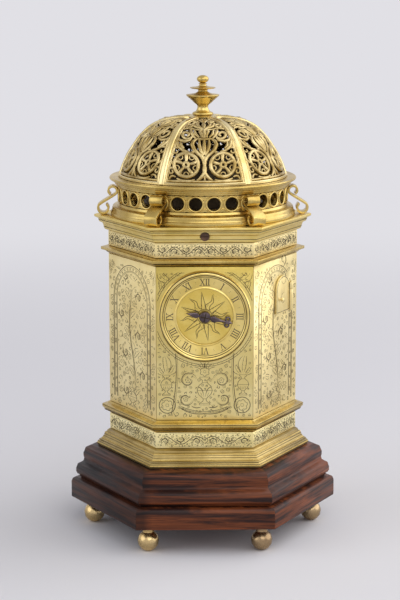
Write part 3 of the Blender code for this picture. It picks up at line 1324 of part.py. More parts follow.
def build_bell(plate_r):
    plate_top = CORNICE_LOW + BELL_PLATE_THICK
    hole = bore(HAMMER_ARBOR_R, *hammer_place())
    plate = prism(circle(plate_r, SIDES), CORNICE_LOW, plate_top, [hole])
    put("bell_plate", plate, "movement_brass", PALE_GILT)

    mouth = plate_top + BELL_LIFT
    outer = [(BELL_R * out, mouth + BELL_HEIGHT * up) for out, up in BELL_SHARES]
    inner = [(max(radius - BELL_WALL, outer[-1][0]), height - BELL_WALL * up)
             for (radius, height), (out, up) in zip(outer, BELL_SHARES)]
    eye = POST_THREAD_R + SEAT_GAP
    outline = outer + [(eye, outer[-1][1]), (eye, outer[-1][1] - BELL_WALL)] + inner[::-1]
    put("bell", turned(outline, ROUND_STEPS // 2), "bell_metal", BELL_METAL)

    seat = outer[-1][1] - BELL_WALL - SEAT_GAP
    top = outer[-1][1] + POST_THREAD_HEIGHT
    low = plate_top + SEAT_GAP
    post = [(0, low), (POST_FOOT_R, low), (POST_FOOT_R, low + POST_RIM), (POST_R, low + POST_FLARE),
            (POST_R, seat - POST_SEAT_FLARE), (POST_SEAT_R, seat - POST_SEAT_RIM),
            (POST_SEAT_R, seat), (POST_THREAD_R, seat), (POST_THREAD_R, top), (0, top)]
    put("bell_post", turned(post, SMALL_STEPS), "iron", IRON)
    nut_low = outer[-1][1] + SEAT_GAP
    nut = prism(circle(NUT_R, SIDES), nut_low, nut_low + NUT_HEIGHT, [bore(POST_THREAD_R)])
    put("bell_nut", nut, "iron", IRON)
    build_hammer(plate_top, mouth)


def hammer_place():
    """The hammer's arbor, halfway between the bell's rim and the gallery's wall."""
    ring_r = (DRUM_R - DRUM_WALL + BELL_R) / 2
    return ring_r * math.cos(HAMMER_TURN), ring_r * math.sin(HAMMER_TURN)


def bar(start, end, half, low, high):
    """A straight bar between two distances from the axis of Z, along X."""
    return prism([(start, -half), (end, -half), (end, half), (start, half)], low, high)


def build_hammer(plate_top, mouth):
    """An upright arbor with a head beside the bell's rim, and a tail towards the alarm's pins."""
    x, y = hammer_place()
    ring_r = math.hypot(x, y)
    head_r = BELL_R + HAMMER_GAP + HAMMER_HEAD_LENGTH / 2
    spread = math.acos((ring_r ** 2 + head_r ** 2 - HAMMER_REACH ** 2) / (2 * ring_r * head_r))
    head_turn = HAMMER_TURN - spread
    head = Vector((head_r * math.cos(head_turn) - x, head_r * math.sin(head_turn) - y, 0))
    arm_low = plate_top + HAMMER_ARM_THICK
    head_z = mouth + HAMMER_HEAD_R * HAMMER_HEAD_LIFT_SHARE
    arbor = rod(HAMMER_ARBOR_R, LOWER_FRIEZE_LOW + SEAT_GAP, arm_low + HAMMER_ARM_THICK)
    collar = rod(HAMMER_COLLAR_R, plate_top + SEAT_GAP,
                 arm_low + HAMMER_ARM_THICK * HAMMER_COLLAR_SHARE)
    half = HAMMER_ARM_THICK / 2
    arm_foot = arm_low - HAMMER_ARM_THICK * HAMMER_ARM_SINK_SHARE
    arm = bar(0, head.length, half, arm_foot, arm_foot + HAMMER_ARM_THICK)
    sides = [head.length + HAMMER_ARM_THICK * share for share in HAMMER_RISE_SHARES]
    rise = bar(*sides, half * HAMMER_RISE_WIDTH_SHARE, arm_low, head_z)
    along = Matrix.Rotation(math.atan2(head.y, head.x), 4, "Z")
    inward = Matrix.Rotation(head_turn, 4, "Z") @ Matrix.Rotation(math.pi / 2, 4, "Y")
    block = carried(rod(HAMMER_HEAD_R, -HAMMER_HEAD_LENGTH / 2, HAMMER_HEAD_LENGTH / 2),
                    Matrix.Translation((head.x, head.y, head_z)) @ inward)
    tail = bar(0, ring_r - ALARM_WHEEL_R - SWING_GAP, half * HAMMER_TAIL_WIDTH_SHARE,
               ALARM_Z - half, ALARM_Z + half)
    carried(tail, Matrix.Rotation(HAMMER_TAIL_TURN, 4, "Z"))
    mesh = fused([arbor, collar, carried(arm, along), carried(rise, along), block, tail])
    put("hammer", mesh, "iron", IRON, (x, y, 0))


def main():
    clear_scene()
    build_feet()
    build_plinth()
    build_case_rings()
    plate_r = build_cornice()
    build_panels()
    build_gallery()
    build_brackets()
    build_dome()
    build_finial()
    face, hand_low = build_dial()
    build_movement(face, hand_low)
    build_bell(plate_r)


main()
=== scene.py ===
import math
import random

import bmesh
import bpy
from mathutils import Matrix, Vector, kdtree


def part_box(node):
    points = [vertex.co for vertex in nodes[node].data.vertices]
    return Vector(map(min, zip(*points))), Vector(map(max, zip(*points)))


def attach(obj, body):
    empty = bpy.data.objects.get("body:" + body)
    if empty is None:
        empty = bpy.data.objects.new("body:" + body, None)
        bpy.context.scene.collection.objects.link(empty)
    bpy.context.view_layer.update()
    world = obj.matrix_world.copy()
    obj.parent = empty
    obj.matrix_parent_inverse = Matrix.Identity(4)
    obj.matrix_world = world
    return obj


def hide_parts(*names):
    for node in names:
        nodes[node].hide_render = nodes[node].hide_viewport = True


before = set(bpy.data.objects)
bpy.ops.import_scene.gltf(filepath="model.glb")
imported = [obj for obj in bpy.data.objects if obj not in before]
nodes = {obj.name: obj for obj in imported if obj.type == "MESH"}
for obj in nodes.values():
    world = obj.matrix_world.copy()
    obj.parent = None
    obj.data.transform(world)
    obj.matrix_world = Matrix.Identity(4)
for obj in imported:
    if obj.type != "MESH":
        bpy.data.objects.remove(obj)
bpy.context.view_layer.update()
tau = math.tau
collection = bpy.context.scene.collection
print("frame loaded:", len(nodes), "nodes")

# what the rest is measured from, all read off the frame
case = {
    "sides": 6,
    "faceDistance": -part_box("panel_front")[0].y,
    "faceHalf": (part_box("panel_front")[1].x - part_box("panel_front")[0].x) / 2,
    "panelLow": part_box("panel_front")[0].z,
    "panelHigh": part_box("panel_front")[1].z,
    "dialHeight": (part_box("dial_ring")[0].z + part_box("dial_ring")[1].z) / 2,
}


# Materials

def newGroup(name, kind, inputs, outputs):
    # an empty node tree with its sockets, and what its input node gives
    group = bpy.data.node_groups.new(name, kind)
    for label, socketKind, value in inputs:
        socket = group.interface.new_socket(label, in_out="INPUT", socket_type=f"NodeSocket{socketKind}")
        if value is not None:
            socket.default_value = value
    for label, socketKind in outputs:
        group.interface.new_socket(label, in_out="OUTPUT", socket_type=f"NodeSocket{socketKind}")
    return group, group.nodes.new("NodeGroupInput").outputs


def setInputs(tree, node, inputs):
    # inputs by name or number, each a plain value or a socket to link
    for name, given in inputs.items():
        if hasattr(given, "links"):
            tree.links.new(given, node.inputs[name])
        else:
            node.inputs[name].default_value = given


def addNode(tree, kind, inputs=None, **values):
    node = tree.nodes.new(kind)
    for key, value in values.items():
        setattr(node, key, value)
    setInputs(tree, node, inputs or {})
    return node


def calculated(tree, operation, *values):
    node = addNode(tree, "ShaderNodeMath", dict(enumerate(values)), operation=operation)
    return node.outputs[0]


def noise(tree, place, **values):
    given = {name.replace("_", " "): value for name, value in values.items()}
    return addNode(tree, "ShaderNodeTexNoise", {"Vector": place, **given}).outputs["Fac"]


def stretched(tree, place, scale, rotation=(0, 0, 0)):
    return addNode(tree, "ShaderNodeMapping",
                   {"Vector": place, "Scale": scale, "Rotation": rotation}).outputs["Vector"]


def mixColour(tree, factor, first, second, blend="MIX"):
    node = addNode(tree, "ShaderNodeMix", {0: factor, 6: first, 7: second}, data_type="RGBA", blend_type=blend)
    return node.outputs[2]


def spread(tree, source, low, high, newLow=0.0, newHigh=1.0):
    node = addNode(tree, "ShaderNodeMapRange", {
        "Value": source, "From Min": low, "From Max": high, "To Min": newLow, "To Max": newHigh})
    return node.outputs["Result"]


def objectPlace(tree):
    return addNode(tree, "ShaderNodeTexCoord").outputs["Object"]


def placeAlong(tree, axis):
    # X, Y or Z in the shared frame
    return addNode(tree, "ShaderNodeSeparateXYZ", {"Vector": objectPlace(tree)}).outputs[axis]


def reliefOf(tree, height, strength, distance):
    return addNode(tree, "ShaderNodeBump",
                   {"Strength": strength, "Distance": distance, "Height": height}).outputs["Normal"]


agedLook = {
    "cloudFrom": 0.38,
    "cloudTo": 0.66,
    "fineScale": 900.0,
    "scratchScale": (2600, 2600, 160),
    "scratchTurn": (0.5, 0.3, 0),
    "scratchShare": 0.35,
    "bumpDistance": 0.0002,
}


def agedMetalGroup():
    # cloudy tone, rubbed places and fine scratches
    group, source = newGroup("agedMetal", "ShaderNodeTree", (
        ("Bright", "Color", (0.8, 0.6, 0.3, 1)),
        ("Dull", "Color", (0.5, 0.35, 0.12, 1)),
        ("Cloud Scale", "Float", 60.0),
        ("Polish", "Float", 0.25),
        ("Wear", "Float", 0.2),
    ), (("Colour", "Color"), ("Roughness", "Float"), ("Height", "Float")))
    place = objectPlace(group)
    cloud = noise(group, place, Scale=source["Cloud Scale"], Detail=5.0, Roughness=0.6)
    fine = noise(group, place, Scale=agedLook["fineScale"], Detail=3.0)
    drawn = stretched(group, place, agedLook["scratchScale"], agedLook["scratchTurn"])
    scratch = noise(group, drawn, Scale=1.0, Detail=1.0)
    tone = spread(group, cloud, agedLook["cloudFrom"], agedLook["cloudTo"])
    rubbed = spread(group, fine, 0.3, 0.7, -0.5, 0.5)
    addNode(group, "NodeGroupOutput", {
        "Colour": mixColour(group, tone, source["Dull"], source["Bright"]),
        "Roughness": calculated(group, "MULTIPLY_ADD", rubbed, source["Wear"], source["Polish"]),
        "Height": calculated(group, "MULTIPLY_ADD", scratch, agedLook["scratchShare"], fine),
    })
    return group


agedMetal = agedMetalGroup()


def finishMaterial(name):
    material = bpy.data.materials.new(name)
    material.use_nodes = True
    return material, material.node_tree, material.node_tree.nodes["Principled BSDF"]


def metalFinish(name, bright, dull, polish, wear=0.15, cloudScale=60.0, bump=0.06, metallic=1.0):
    material, tree, shader = finishMaterial(name)
    aged = addNode(tree, "ShaderNodeGroup", node_tree=agedMetal)
    setInputs(tree, aged, {
        "Bright": (*bright, 1), "Dull": (*dull, 1), "Polish": polish, "Wear": wear, "Cloud Scale": cloudScale})
    setInputs(tree, shader, {
        "Metallic": metallic,
        "Base Color": aged.outputs["Colour"],
        "Roughness": aged.outputs["Roughness"],
        "Normal": reliefOf(tree, aged.outputs["Height"], bump, agedLook["bumpDistance"]),
    })
    return material


def woodFinish():
    # polished mahogany, its grain along the piece's own grain coordinates
    look = {
        "dark": (0.020, 0.006, 0.004, 1),
        "warm": (0.215, 0.056, 0.016, 1),
        "bandScale": (22, 430, 1),
        "pore": (0.005, 0.002, 0.002, 1),
        "poreScale": (60, 2600, 1),
        "shade": (0.34, 0.36, 0.44, 1),
        "shadeFrom": -0.028,
        "shadeTo": -0.024,
    }
    material, tree, shader = finishMaterial("polishedMahogany")
    along = addNode(tree, "ShaderNodeUVMap", uv_map="grain").outputs["UV"]
    bands = noise(tree, stretched(tree, along, look["bandScale"]),
                  Scale=1.0, Detail=6.0, Roughness=0.65, Distortion=0.6)
    pores = noise(tree, stretched(tree, along, look["poreScale"]), Scale=1.0, Detail=2.0)
    colour = mixColour(tree, spread(tree, bands, 0.42, 0.66), look["dark"], look["warm"])
    colour = mixColour(tree, spread(tree, pores, 0.60, 0.70, 0.0, 0.75), colour, look["pore"])
    # painted shade: the wood on the left, away from the light, is darkened and cooled
    leftShadeMask = spread(tree, placeAlong(tree, "X"), look["shadeFrom"], look["shadeTo"], 1.0, 0.0)
    colour = mixColour(tree, leftShadeMask, colour, mixColour(tree, 1.0, colour, look["shade"], "MULTIPLY"))
    setInputs(tree, shader, {
        "Base Color": colour,
        "Roughness": spread(tree, pores, 0.3, 0.75, 0.30, 0.52),
        "Specular IOR Level": 0.22,
        "Coat Weight": 0.05,
        "Coat Roughness": 0.22,
        "Normal": reliefOf(tree, pores, 0.25, 0.0001),
    })
    return material


metals = {
    # name, bright, dull, polish, wear, cloud scale, bump and how metallic
    "gilt": ("gildedMoulding", (0.70, 0.53, 0.19), (0.46, 0.32, 0.085), 0.30, 0.10, 60.0, 0.015),
    "base": ("castMoulding", (0.54, 0.41, 0.165), (0.35, 0.25, 0.085), 0.36, 0.10, 70.0, 0.015),
    "paleGilt": ("rubbedGilding", (0.84, 0.71, 0.39), (0.60, 0.46, 0.18), 0.28, 0.08, 60.0, 0.006),
    # painted light: the front and side plates are two copies of one gilding, toned apart for how each face catches the
    # light
    "panel": ("engravedPlate", (0.98, 0.87, 0.48), (0.84, 0.70, 0.31), 0.40, 0.14, 45.0, 0.05),
    "sidePanel": ("engravedSidePlate", (0.90, 0.775, 0.425), (0.76, 0.62, 0.29), 0.54, 0.14, 45.0, 0.03),
    "dial": ("dialGilding", (0.88, 0.70, 0.27), (0.72, 0.54, 0.15), 0.36, 0.14, 80.0, 0.04),
    "alarmDial": ("alarmDialGilding", (0.86, 0.67, 0.20), (0.74, 0.54, 0.12), 0.34, 0.16, 90.0, 0.05),
    "pierced": ("piercedGilding", (0.66, 0.53, 0.26), (0.31, 0.215, 0.07), 0.36, 0.10, 160.0, 0.01),
    "wornFoot": ("wornFootBrass", (0.46, 0.33, 0.18), (0.30, 0.20, 0.11), 0.28, 0.10, 60.0, 0.01),
    "foot": ("footBrass", (0.76, 0.58, 0.30), (0.54, 0.38, 0.16), 0.26, 0.10, 60.0, 0.015),
    "movement": ("movementBrass", (0.80, 0.64, 0.32), (0.66, 0.48, 0.20), 0.34, 0.18),
    "bell": ("bellMetal", (0.10, 0.075, 0.045), (0.045, 0.032, 0.02), 0.42, 0.14),
    "iron": ("filedIron", (0.22, 0.21, 0.20), (0.12, 0.11, 0.10), 0.42, 0.20),
    "blued": ("bluedSteel", (0.150, 0.118, 0.122), (0.075, 0.056, 0.060), 0.34, 0.12, 200.0, 0.02),
    "russet": ("russetScrew", (0.15, 0.075, 0.04), (0.07, 0.035, 0.02), 0.45, 0.20, 300.0, 0.06, 0.4),
    "line": ("engravedLine", (0.080, 0.052, 0.014), (0.035, 0.022, 0.007), 0.66, 0.10, 160.0, 0.0, 0.2),
    "niello": ("blackNumeral", (0.04, 0.026, 0.016), (0.02, 0.013, 0.01), 0.50, 0.10, 300.0, 0.0, 0.1),
}
finishes = {finish: metalFinish(*look) for finish, look in metals.items()}
finishes["wood"] = woodFinish()


def colouring(finish):
    # a finish's tree, its shader, and what colours it so far
    tree = finishes[finish].node_tree
    shader = tree.nodes["Principled BSDF"]
    return tree, shader, shader.inputs["Base Color"].links[0].from_socket


def paintedReflectionByHeight(finish, low, high, lowReflectionTint, highReflectionTint):
    # painted reflection: the plate's gilding is darkened and turned yellower towards its top, for how its reflected
    # light changes with height
    tree, shader, gilding = colouring(finish)
    heightReflectionTint = mixColour(tree, spread(tree, placeAlong(tree, "Z"), low, high), lowReflectionTint, highReflectionTint)
    setInputs(tree, shader, {"Base Color": mixColour(tree, 1.0, gilding, heightReflectionTint, "MULTIPLY")})


# painted reflection on the front plate, darker and yellower at its top
paintedReflectionByHeight("panel", case["panelLow"], case["panelHigh"], (1.0, 1.0, 1.0, 1), (0.63, 0.55, 0.27, 1))
print("finishes made:", len(finishes))


# Pieces from the frame

def addPiece(name, mesh, finish, body="case", replaces=()):
    mesh.materials.clear()
    mesh.materials.append(finishes[finish])
    piece = bpy.data.objects.new(name, mesh)
    collection.objects.link(piece)
    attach(piece, body)
    if replaces:
        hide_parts(*replaces)
    return piece


def newMesh(name, vertices, faces):
    mesh = bpy.data.meshes.new(name)
    mesh.from_pydata(vertices, [], faces)
    return mesh


def reworked(mesh, *steps):
    work = bmesh.new()
    work.from_mesh(mesh)
    for step in steps:
        step(work)
    work.to_mesh(mesh)
    work.free()
    return mesh


def weld(work, distance=0.000001):
    bmesh.ops.remove_doubles(work, verts=work.verts, dist=distance)


def flatten(work):
    bmesh.ops.dissolve_limit(work, angle_limit=math.radians(0.5), verts=work.verts, edges=work.edges)


def faceOutwards(work):
    bmesh.ops.recalc_face_normals(work, faces=work.faces)


def mergedCopy(node, *steps):
    return reworked(nodes[node].data.copy(), weld, *steps)


def softened(mesh, width, sharpDegrees=38.0):
    # rounds the sharp edges a little and shades the rest smooth
    holder = bpy.data.objects.new("softening", mesh)
    collection.objects.link(holder)
    if width:
        bevel = holder.modifiers.new("edge", "BEVEL")
        bevel.width = width
        bevel.segments = 2
        bevel.limit_method = "ANGLE"
        bevel.angle_limit = math.radians(sharpDegrees)
        bevel.use_clamp_overlap = True
        bevel.harden_normals = False
    seen = holder.evaluated_get(bpy.context.evaluated_depsgraph_get())
    result = bpy.data.meshes.new_from_object(seen)
    bpy.data.objects.remove(holder)
    result.shade_smooth()
    result.set_sharp_from_angle(angle=math.radians(sharpDegrees + 14))
    return result


def grainMap(mesh):
    # u runs along the side of the hexagon that a face belongs to, v up and outwards
    layer = mesh.uv_layers.new(name="grain")
    for polygon in mesh.polygons:
        x, y = polygon.center.x, polygon.center.y
        side = round((math.atan2(y, x) - tau / 12) / (tau / 6))
        turn = tau / 12 + side * tau / 6
        for loop in polygon.loop_indices:
            point = mesh.vertices[mesh.loops[loop].vertex_index].co
            along = -point.x * math.sin(turn) + point.y * math.cos(turn)
            out = point.x * math.cos(turn) + point.y * math.sin(turn)
            layer.data[loop].uv = (along + side * 0.37, point.z + out * 0.7)


def pieceName(node, ending):
    first, *others = node.split("_")
    return first + "".join(part.title() for part in others) + ending


def dressNode(node, finish, width, body="case"):
    mesh = softened(mergedCopy(node, flatten), width)
    return addPiece(pieceName(node, "Dressed"), mesh, finish, body, (node,))


for node, finish in (("base_moulding", "base"), ("lower_string", "gilt"), ("upper_string", "gilt"),
                     ("cornice", "dial")):
    dressNode(node, finish, 0.00015)
dressNode("lower_frieze", "panel", 0.0001)
dressNode("upper_frieze", "sidePanel", 0.0001)
for node in sorted(nodes):
    if node.startswith("panel_"):
        dressNode(node, "panel" if node == "panel_front" else "sidePanel", 0.0001)
for node, width in (("plinth_slab", 0.0004), ("plinth_moulding", 0.0003)):
    grainMap(dressNode(node, "wood", width).data)
dressNode("cornice_screw", "russet", 0.00008)
dressNode("shutter", "sidePanel", 0.00008, "shutter")
dressNode("shutter_hinge_pin", "paleGilt", 0.00005)
print("case dressed")


# Round pieces, turned again from the frame's own profiles

turning = {
    "steps": 96,
    "footSteps": 40,
    "scale": 0.9985,  # keeps a rounder piece inside the frame's own
    "edge": 0.0001,
    "near": 0.00002,
    "litFeet": (4, 5),  # the feet at the front and left, which get the brighter brass
}


def meridian(node, toAxis):
    # the node's outline in its plane of zero turn, as a chain of (radius, height)
    mesh = mergedCopy(node)
    points = [toAxis @ v.co for v in mesh.vertices]
    onIt = [abs(p.y) < turning["near"] and p.x > -turning["near"] for p in points]
    links = {}
    for edge in mesh.edges:
        a, b = edge.vertices
        if onIt[a] and onIt[b]:
            links.setdefault(a, []).append(b)
            links.setdefault(b, []).append(a)
    bpy.data.meshes.remove(mesh)
    ends = [v for v, ahead in links.items() if len(ahead) == 1]
    start = ends[0] if ends else next(iter(links))
    chain, before, here = [start], None, start
    while True:
        ahead = [v for v in links[here] if v != before and (v not in chain or (v == start and len(chain) > 2))]
        if not ahead or ahead[0] == start:
            break
        before, here = here, ahead[0]
        chain.append(here)
    return [(max(points[v].x, 0.0), points[v].z) for v in chain], bool(ends)


def around(radius, turn, height):
    return Vector((radius * math.cos(turn), radius * math.sin(turn), height))


def lathe(profile, closed, steps):
    # closed means a solid whose profile starts and ends on the axis
    vertices, rows = [], []
    for radius, height in profile:
        if closed and radius < 0.00001:
            rows.append([len(vertices)] * steps)
            vertices.append((0, 0, height))
            continue
        rows.append([len(vertices) + k for k in range(steps)])
        vertices += [around(radius, tau * k / steps, height) for k in range(steps)]
    faces = []
    for lower, upper in zip(rows, rows[1:] + ([] if closed else rows[:1])):
        for k in range(steps):
            after = (k + 1) % steps
            corners = tuple(dict.fromkeys((lower[k], lower[after], upper[after], upper[k])))
            if len(corners) > 2:
                faces.append(corners)
    return reworked(newMesh("turned", vertices, faces), faceOutwards)


def joined(meshes):
    work = bmesh.new()
    for mesh in meshes:
        work.from_mesh(mesh)
        bpy.data.meshes.remove(mesh)
    faceOutwards(work)
    result = bpy.data.meshes.new("joined")
    work.to_mesh(result)
    work.free()
    return result


def turnAgain(node, finish, steps, place=Matrix.Identity(4)):
    profile, closed = meridian(node, place.inverted())
    mesh = lathe([(radius * turning["scale"], height) for radius, height in profile], closed, steps)
    mesh.transform(place)
    addPiece(pieceName(node, "Turned"), softened(mesh, turning["edge"]), finish, "case", (node,))


dialCentre = Matrix.Translation((0, -case["faceDistance"], case["dialHeight"]))
dialPlace = dialCentre @ Matrix.Rotation(math.pi / 2, 4, "X")
for node in ("gallery_base", "dome_flange"):
    turnAgain(node, "gilt", turning["steps"])
turnAgain("bell", "bell", turning["steps"])
turnAgain("dial_ring", "dial", turning["steps"], dialPlace)
for k in range(1, case["sides"] + 1):
    low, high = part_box(f"ball_foot_{k}")
    turnAgain(f"ball_foot_{k}", "foot" if k in turning["litFeet"] else "wornFoot",
              turning["footSteps"], Matrix.Translation(((low.x + high.x) / 2, (low.y + high.y) / 2, 0)))


def buildFinial():
    # shares of its radius and height: foot, stem, ringed cup, neck, disc and button
    low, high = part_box("finial")
    profile = [(0, 0), (0.60, 0), (0.63, 0.015), (0.63, 0.04), (0.58, 0.06), (0.44, 0.085), (0.36, 0.13),
               (0.325, 0.18), (0.33, 0.23), (0.40, 0.265), (0.50, 0.295), (0.60, 0.335), (0.68, 0.372),
               (0.73, 0.380), (0.79, 0.415), (0.84, 0.423), (0.92, 0.455), (0.985, 0.485), (1.0, 0.497),
               (0.985, 0.507), (0.72, 0.522),
               (0.46, 0.545), (0.33, 0.575), (0.28, 0.60), (0.28, 0.625), (0.34, 0.642), (0.50, 0.652),
               (0.70, 0.664), (0.76, 0.674), (0.775, 0.684), (0.74, 0.692), (0.52, 0.702), (0.32, 0.718),
               (0.235, 0.735), (0.20, 0.755), (0.21, 0.772), (0.25, 0.780), (0.25, 0.792), (0.20, 0.802)]
    button = {"middle": 0.90, "rise": 0.10, "reach": 0.36, "first": math.radians(-65)}
    for k in range(13):
        turn = button["first"] + (math.pi / 2 - button["first"]) * k / 12
        profile.append((button["reach"] * math.cos(turn), button["middle"] + button["rise"] * math.sin(turn)))
    profile[-1] = (0, profile[-1][1])
    reach, tall = high.x * turning["scale"], high.z - low.z
    mesh = lathe([(reach * across, low.z + tall * up) for across, up in profile], True, turning["steps"])
    addPiece("finialTurned", softened(mesh, 0, 50), "gilt", "case", ("finial",))


buildFinial()
print("round pieces turned")

# the rest of the frame keeps its shapes
kept = {
    "gilt": ["gallery_drum"] + [f"scroll_bracket_{k}" for k in range(1, 7)],
    "paleGilt": ["dome_ribs"],
    "pierced": [f"dome_panel_{k}" for k in range(1, 7)],
    "alarmDial": ["alarm_disc"],
    "iron": ["balance", "winding_arbor", "bell_post", "bell_nut", "hammer"],
    "movement": [
        "bottom_plate", "bell_plate", "movement_front_plate", "movement_back_plate", "train_bridge",
        "mainspring_barrel", "second_wheel", "crown_wheel", "verge_potence", "alarm_barrel", "dial_wheel",
    ],
}
for finish, names in kept.items():
    for node in names:
        nodes[node].data.materials.clear()
        nodes[node].data.materials.append(finishes[finish])


# Engraving: strokes drawn flat, then laid on a face as fine dark lines

def tubeTree():
    # lines of a mesh to tapering tubes, by the radius kept in each corner
    tree, source = newGroup("lineTubes", "GeometryNodeTree", (
        ("Geometry", "Geometry", None),
        ("Thickness", "Float", 1.0),
        ("Sides", "Int", 4),
        ("Finish", "Material", None),
    ), (("Geometry", "Geometry"),))
    lines = addNode(tree, "GeometryNodeMeshToCurve", {"Mesh": source["Geometry"]})
    radius = addNode(tree, "GeometryNodeInputNamedAttribute", {"Name": "lineRadius"}, data_type="FLOAT")
    size = calculated(tree, "MULTIPLY", radius.outputs["Attribute"], source["Thickness"])
    section = addNode(tree, "GeometryNodeCurvePrimitiveCircle", {"Resolution": source["Sides"], "Radius": 1.0})
    sweep = addNode(tree, "GeometryNodeCurveToMesh", {
        "Curve": lines.outputs["Curve"], "Profile Curve": section.outputs["Curve"],
        "Scale": size, "Fill Caps": True})
    smooth = addNode(tree, "GeometryNodeSetShadeSmooth", {"Geometry": sweep.outputs["Mesh"]})
    real = addNode(tree, "GeometryNodeRealizeInstances", {"Geometry": smooth.outputs["Geometry"]})
    dress = addNode(tree, "GeometryNodeSetMaterial", {
        "Geometry": real.outputs["Geometry"], "Material": source["Finish"]})
    addNode(tree, "NodeGroupOutput", {"Geometry": dress.outputs["Geometry"]})
    return tree


lineTubes = tubeTree()


def tubes(name, strokes, finish, thickness=1.0, sides=4):
    # strokes are (points in space, radii)
    mesh = bpy.data.meshes.new(name)
    points, edges, radii = [], [], []
    for line, sizes in strokes:
        start = len(points)
        points += [tuple(p) for p in line]
        radii += sizes
        edges += [(start + k, start + k + 1) for k in range(len(line) - 1)]
    mesh.from_pydata(points, edges, [])
    mesh.attributes.new("lineRadius", "FLOAT", "POINT").data.foreach_set("value", radii)
    holder = bpy.data.objects.new(name, mesh)
    collection.objects.link(holder)
    modifier = holder.modifiers.new("grow", "NODES")
    modifier.node_group = lineTubes
    values = {"Thickness": thickness, "Sides": sides, "Finish": finishes[finish]}
    for item in lineTubes.interface.items_tree:
        if item.in_out == "INPUT" and item.name in values:
            modifier[item.identifier] = values[item.name]
    holder.update_tag()
    seen = holder.evaluated_get(bpy.context.evaluated_depsgraph_get())
    result = bpy.data.meshes.new_from_object(seen)
    bpy.data.objects.remove(holder)
    bpy.data.meshes.remove(mesh)
    return result


def addLines(name, strokes, finish="line", body="case", sides=4):
    addPiece(name, tubes(name, strokes, finish, sides=sides), finish, body)


mm = 0.001
pen = {"fine": 0.165, "line": 0.26, "bold": 0.40}  # half widths, in millimetres as all drawings are


def polar(x, y, radius, turn):
    return x + radius * math.cos(turn), y + radius * math.sin(turn)


def turned(x, y, turn):
    return x * math.cos(turn) - y * math.sin(turn), x * math.sin(turn) + y * math.cos(turn)


def tapered(points, weight, start=0.35, end=0.35):
    # weight is one of the pens or a half width
    width = pen.get(weight, weight)
    last = len(points) - 1
    sizes = []
    for k in range(last + 1):
        share = k / last
        sizes.append(width * min(1.0, start + share * 4 * (1 - start), end + (1 - share) * 4 * (1 - end)))
    return points, sizes


def even(points, weight):
    return tapered(points, weight, 1, 1)


def cut(a, b, weight, ends):
    # a short straight stroke
    return tapered([a, ((a[0] + b[0]) / 2, (a[1] + b[1]) / 2), b], weight, ends, ends)


def arc(x, y, radius, first, last, steps):
    return [polar(x, y, radius, first + (last - first) * k / steps) for k in range(steps + 1)]


def curl(x, y, radius, start, turns, hand=1, steps=None, inner=0.16):
    # a spiral from its outer end at start, winding in
    steps = steps or max(10, int(abs(turns) * 14))
    points = []
    for k in range(steps + 1):
        share = k / steps
        points.append(polar(x, y, radius * (inner ** share), start + hand * turns * tau * share))
    return points


def bend(a, b, sag, steps=8):
    # a bow from a to b, its middle pushed out sideways
    dx, dy = b[0] - a[0], b[1] - a[1]
    points = []
    for k in range(steps + 1):
        share = k / steps
        push = sag * 4 * share * (1 - share)
        points.append((a[0] + dx * share - dy * push, a[1] + dy * share + dx * push))
    return points


def leaf(x, y, turn, length, width, lean=0.12, veins=3, weight="line"):
    # outline, midrib and side veins
    tip = polar(x, y, length, turn)
    strokes = [tapered(bend((x, y), tip, width / length / 2 + lean), weight),
               tapered(bend((x, y), tip, -width / length / 2 + lean), weight),
               tapered(bend((x, y), tip, lean * 0.9), "fine")]
    for k in range(1, veins + 1):
        share = k / (veins + 1)
        across = width * 2 * share * (1 - share)
        foot = (x + (tip[0] - x) * share, y + (tip[1] - y) * share)
        for way in (1, -1):
            strokes.append(tapered(bend(foot, polar(*foot, across, turn + way * 0.9), 0, 2), "fine"))
    return strokes


def flower(x, y, radius, petals=5, start=0.3):
    strokes = [even(arc(x, y, radius * 0.28, 0, tau, 8), "fine")]
    for k in range(petals):
        turn = start + tau * k / petals
        petal = arc(*polar(x, y, radius * 0.62, turn), radius * 0.36, turn - 2.2, turn + 2.2, 8)
        strokes.append(tapered(petal, "line"))
    return strokes


def scroll(x, y, radius, start, hand=1, leaves=4, turns=1.25, centre=True):
    # a winding stem with leaves thrown off outside and a flower at its heart
    inner = 0.34
    strokes = [tapered(curl(x, y, radius, start, turns, hand, inner=inner), "bold"),
               tapered(curl(x, y, radius * 0.86, start, turns, hand, inner=inner), "fine")]
    for k in range(leaves):
        share = 0.08 + 0.62 * k / max(leaves, 1)
        turn = start + hand * turns * tau * share
        strokes += leaf(*polar(x, y, radius * (inner ** share), turn), turn + hand * 0.75,
                        radius * (0.52 - 0.2 * share), radius * 0.26, 0.14 * hand, 2, "fine")
    if centre:
        strokes += flower(x, y, radius * 0.26)
    return strokes


def vase(x, y, width, height):
    # a standing vase with a foot, gadroons and a rim
    half = width / 2
    profile = [(0.42, 0.0), (0.42, 0.06), (0.14, 0.14), (0.12, 0.22), (0.5, 0.38), (0.62, 0.52), (0.5, 0.68),
               (0.2, 0.80), (0.18, 0.88), (0.40, 0.96), (0.40, 1.0)]
    strokes = []
    for way in (1, -1):
        strokes.append(even([(x + way * half * a * 1.5, y + height * b) for a, b in profile], "line"))
    for ring in (0, 1, 3, 5, 7, 10):
        a, b = profile[ring]
        strokes.append(even([(x + way * half * a * 1.5, y + height * b) for way in (-1, 1)], "fine"))
    for share in (-0.6, -0.2, 0.2, 0.6):
        low = (x + half * share * 0.5, y + height * 0.24)
        strokes.append(tapered(bend(low, (x + half * share, y + height * 0.5), 0.1 * share, 3), "fine"))
    return strokes


def plume(x, y, turn, length, count=4, fan=0.5, sag=0.2, weight="fine"):
    strokes = []
    for k in range(count):
        lean = (k / max(count - 1, 1) - 0.5) * fan
        tip = polar(x, y, length * (1 - 0.25 * abs(lean)), turn + lean)
        strokes.append(tapered(bend((x, y), tip, sag + lean * 0.3), weight))
    return strokes


def mirrored(strokes):
    return strokes + [([(-a, b) for a, b in line], sizes) for line, sizes in strokes]


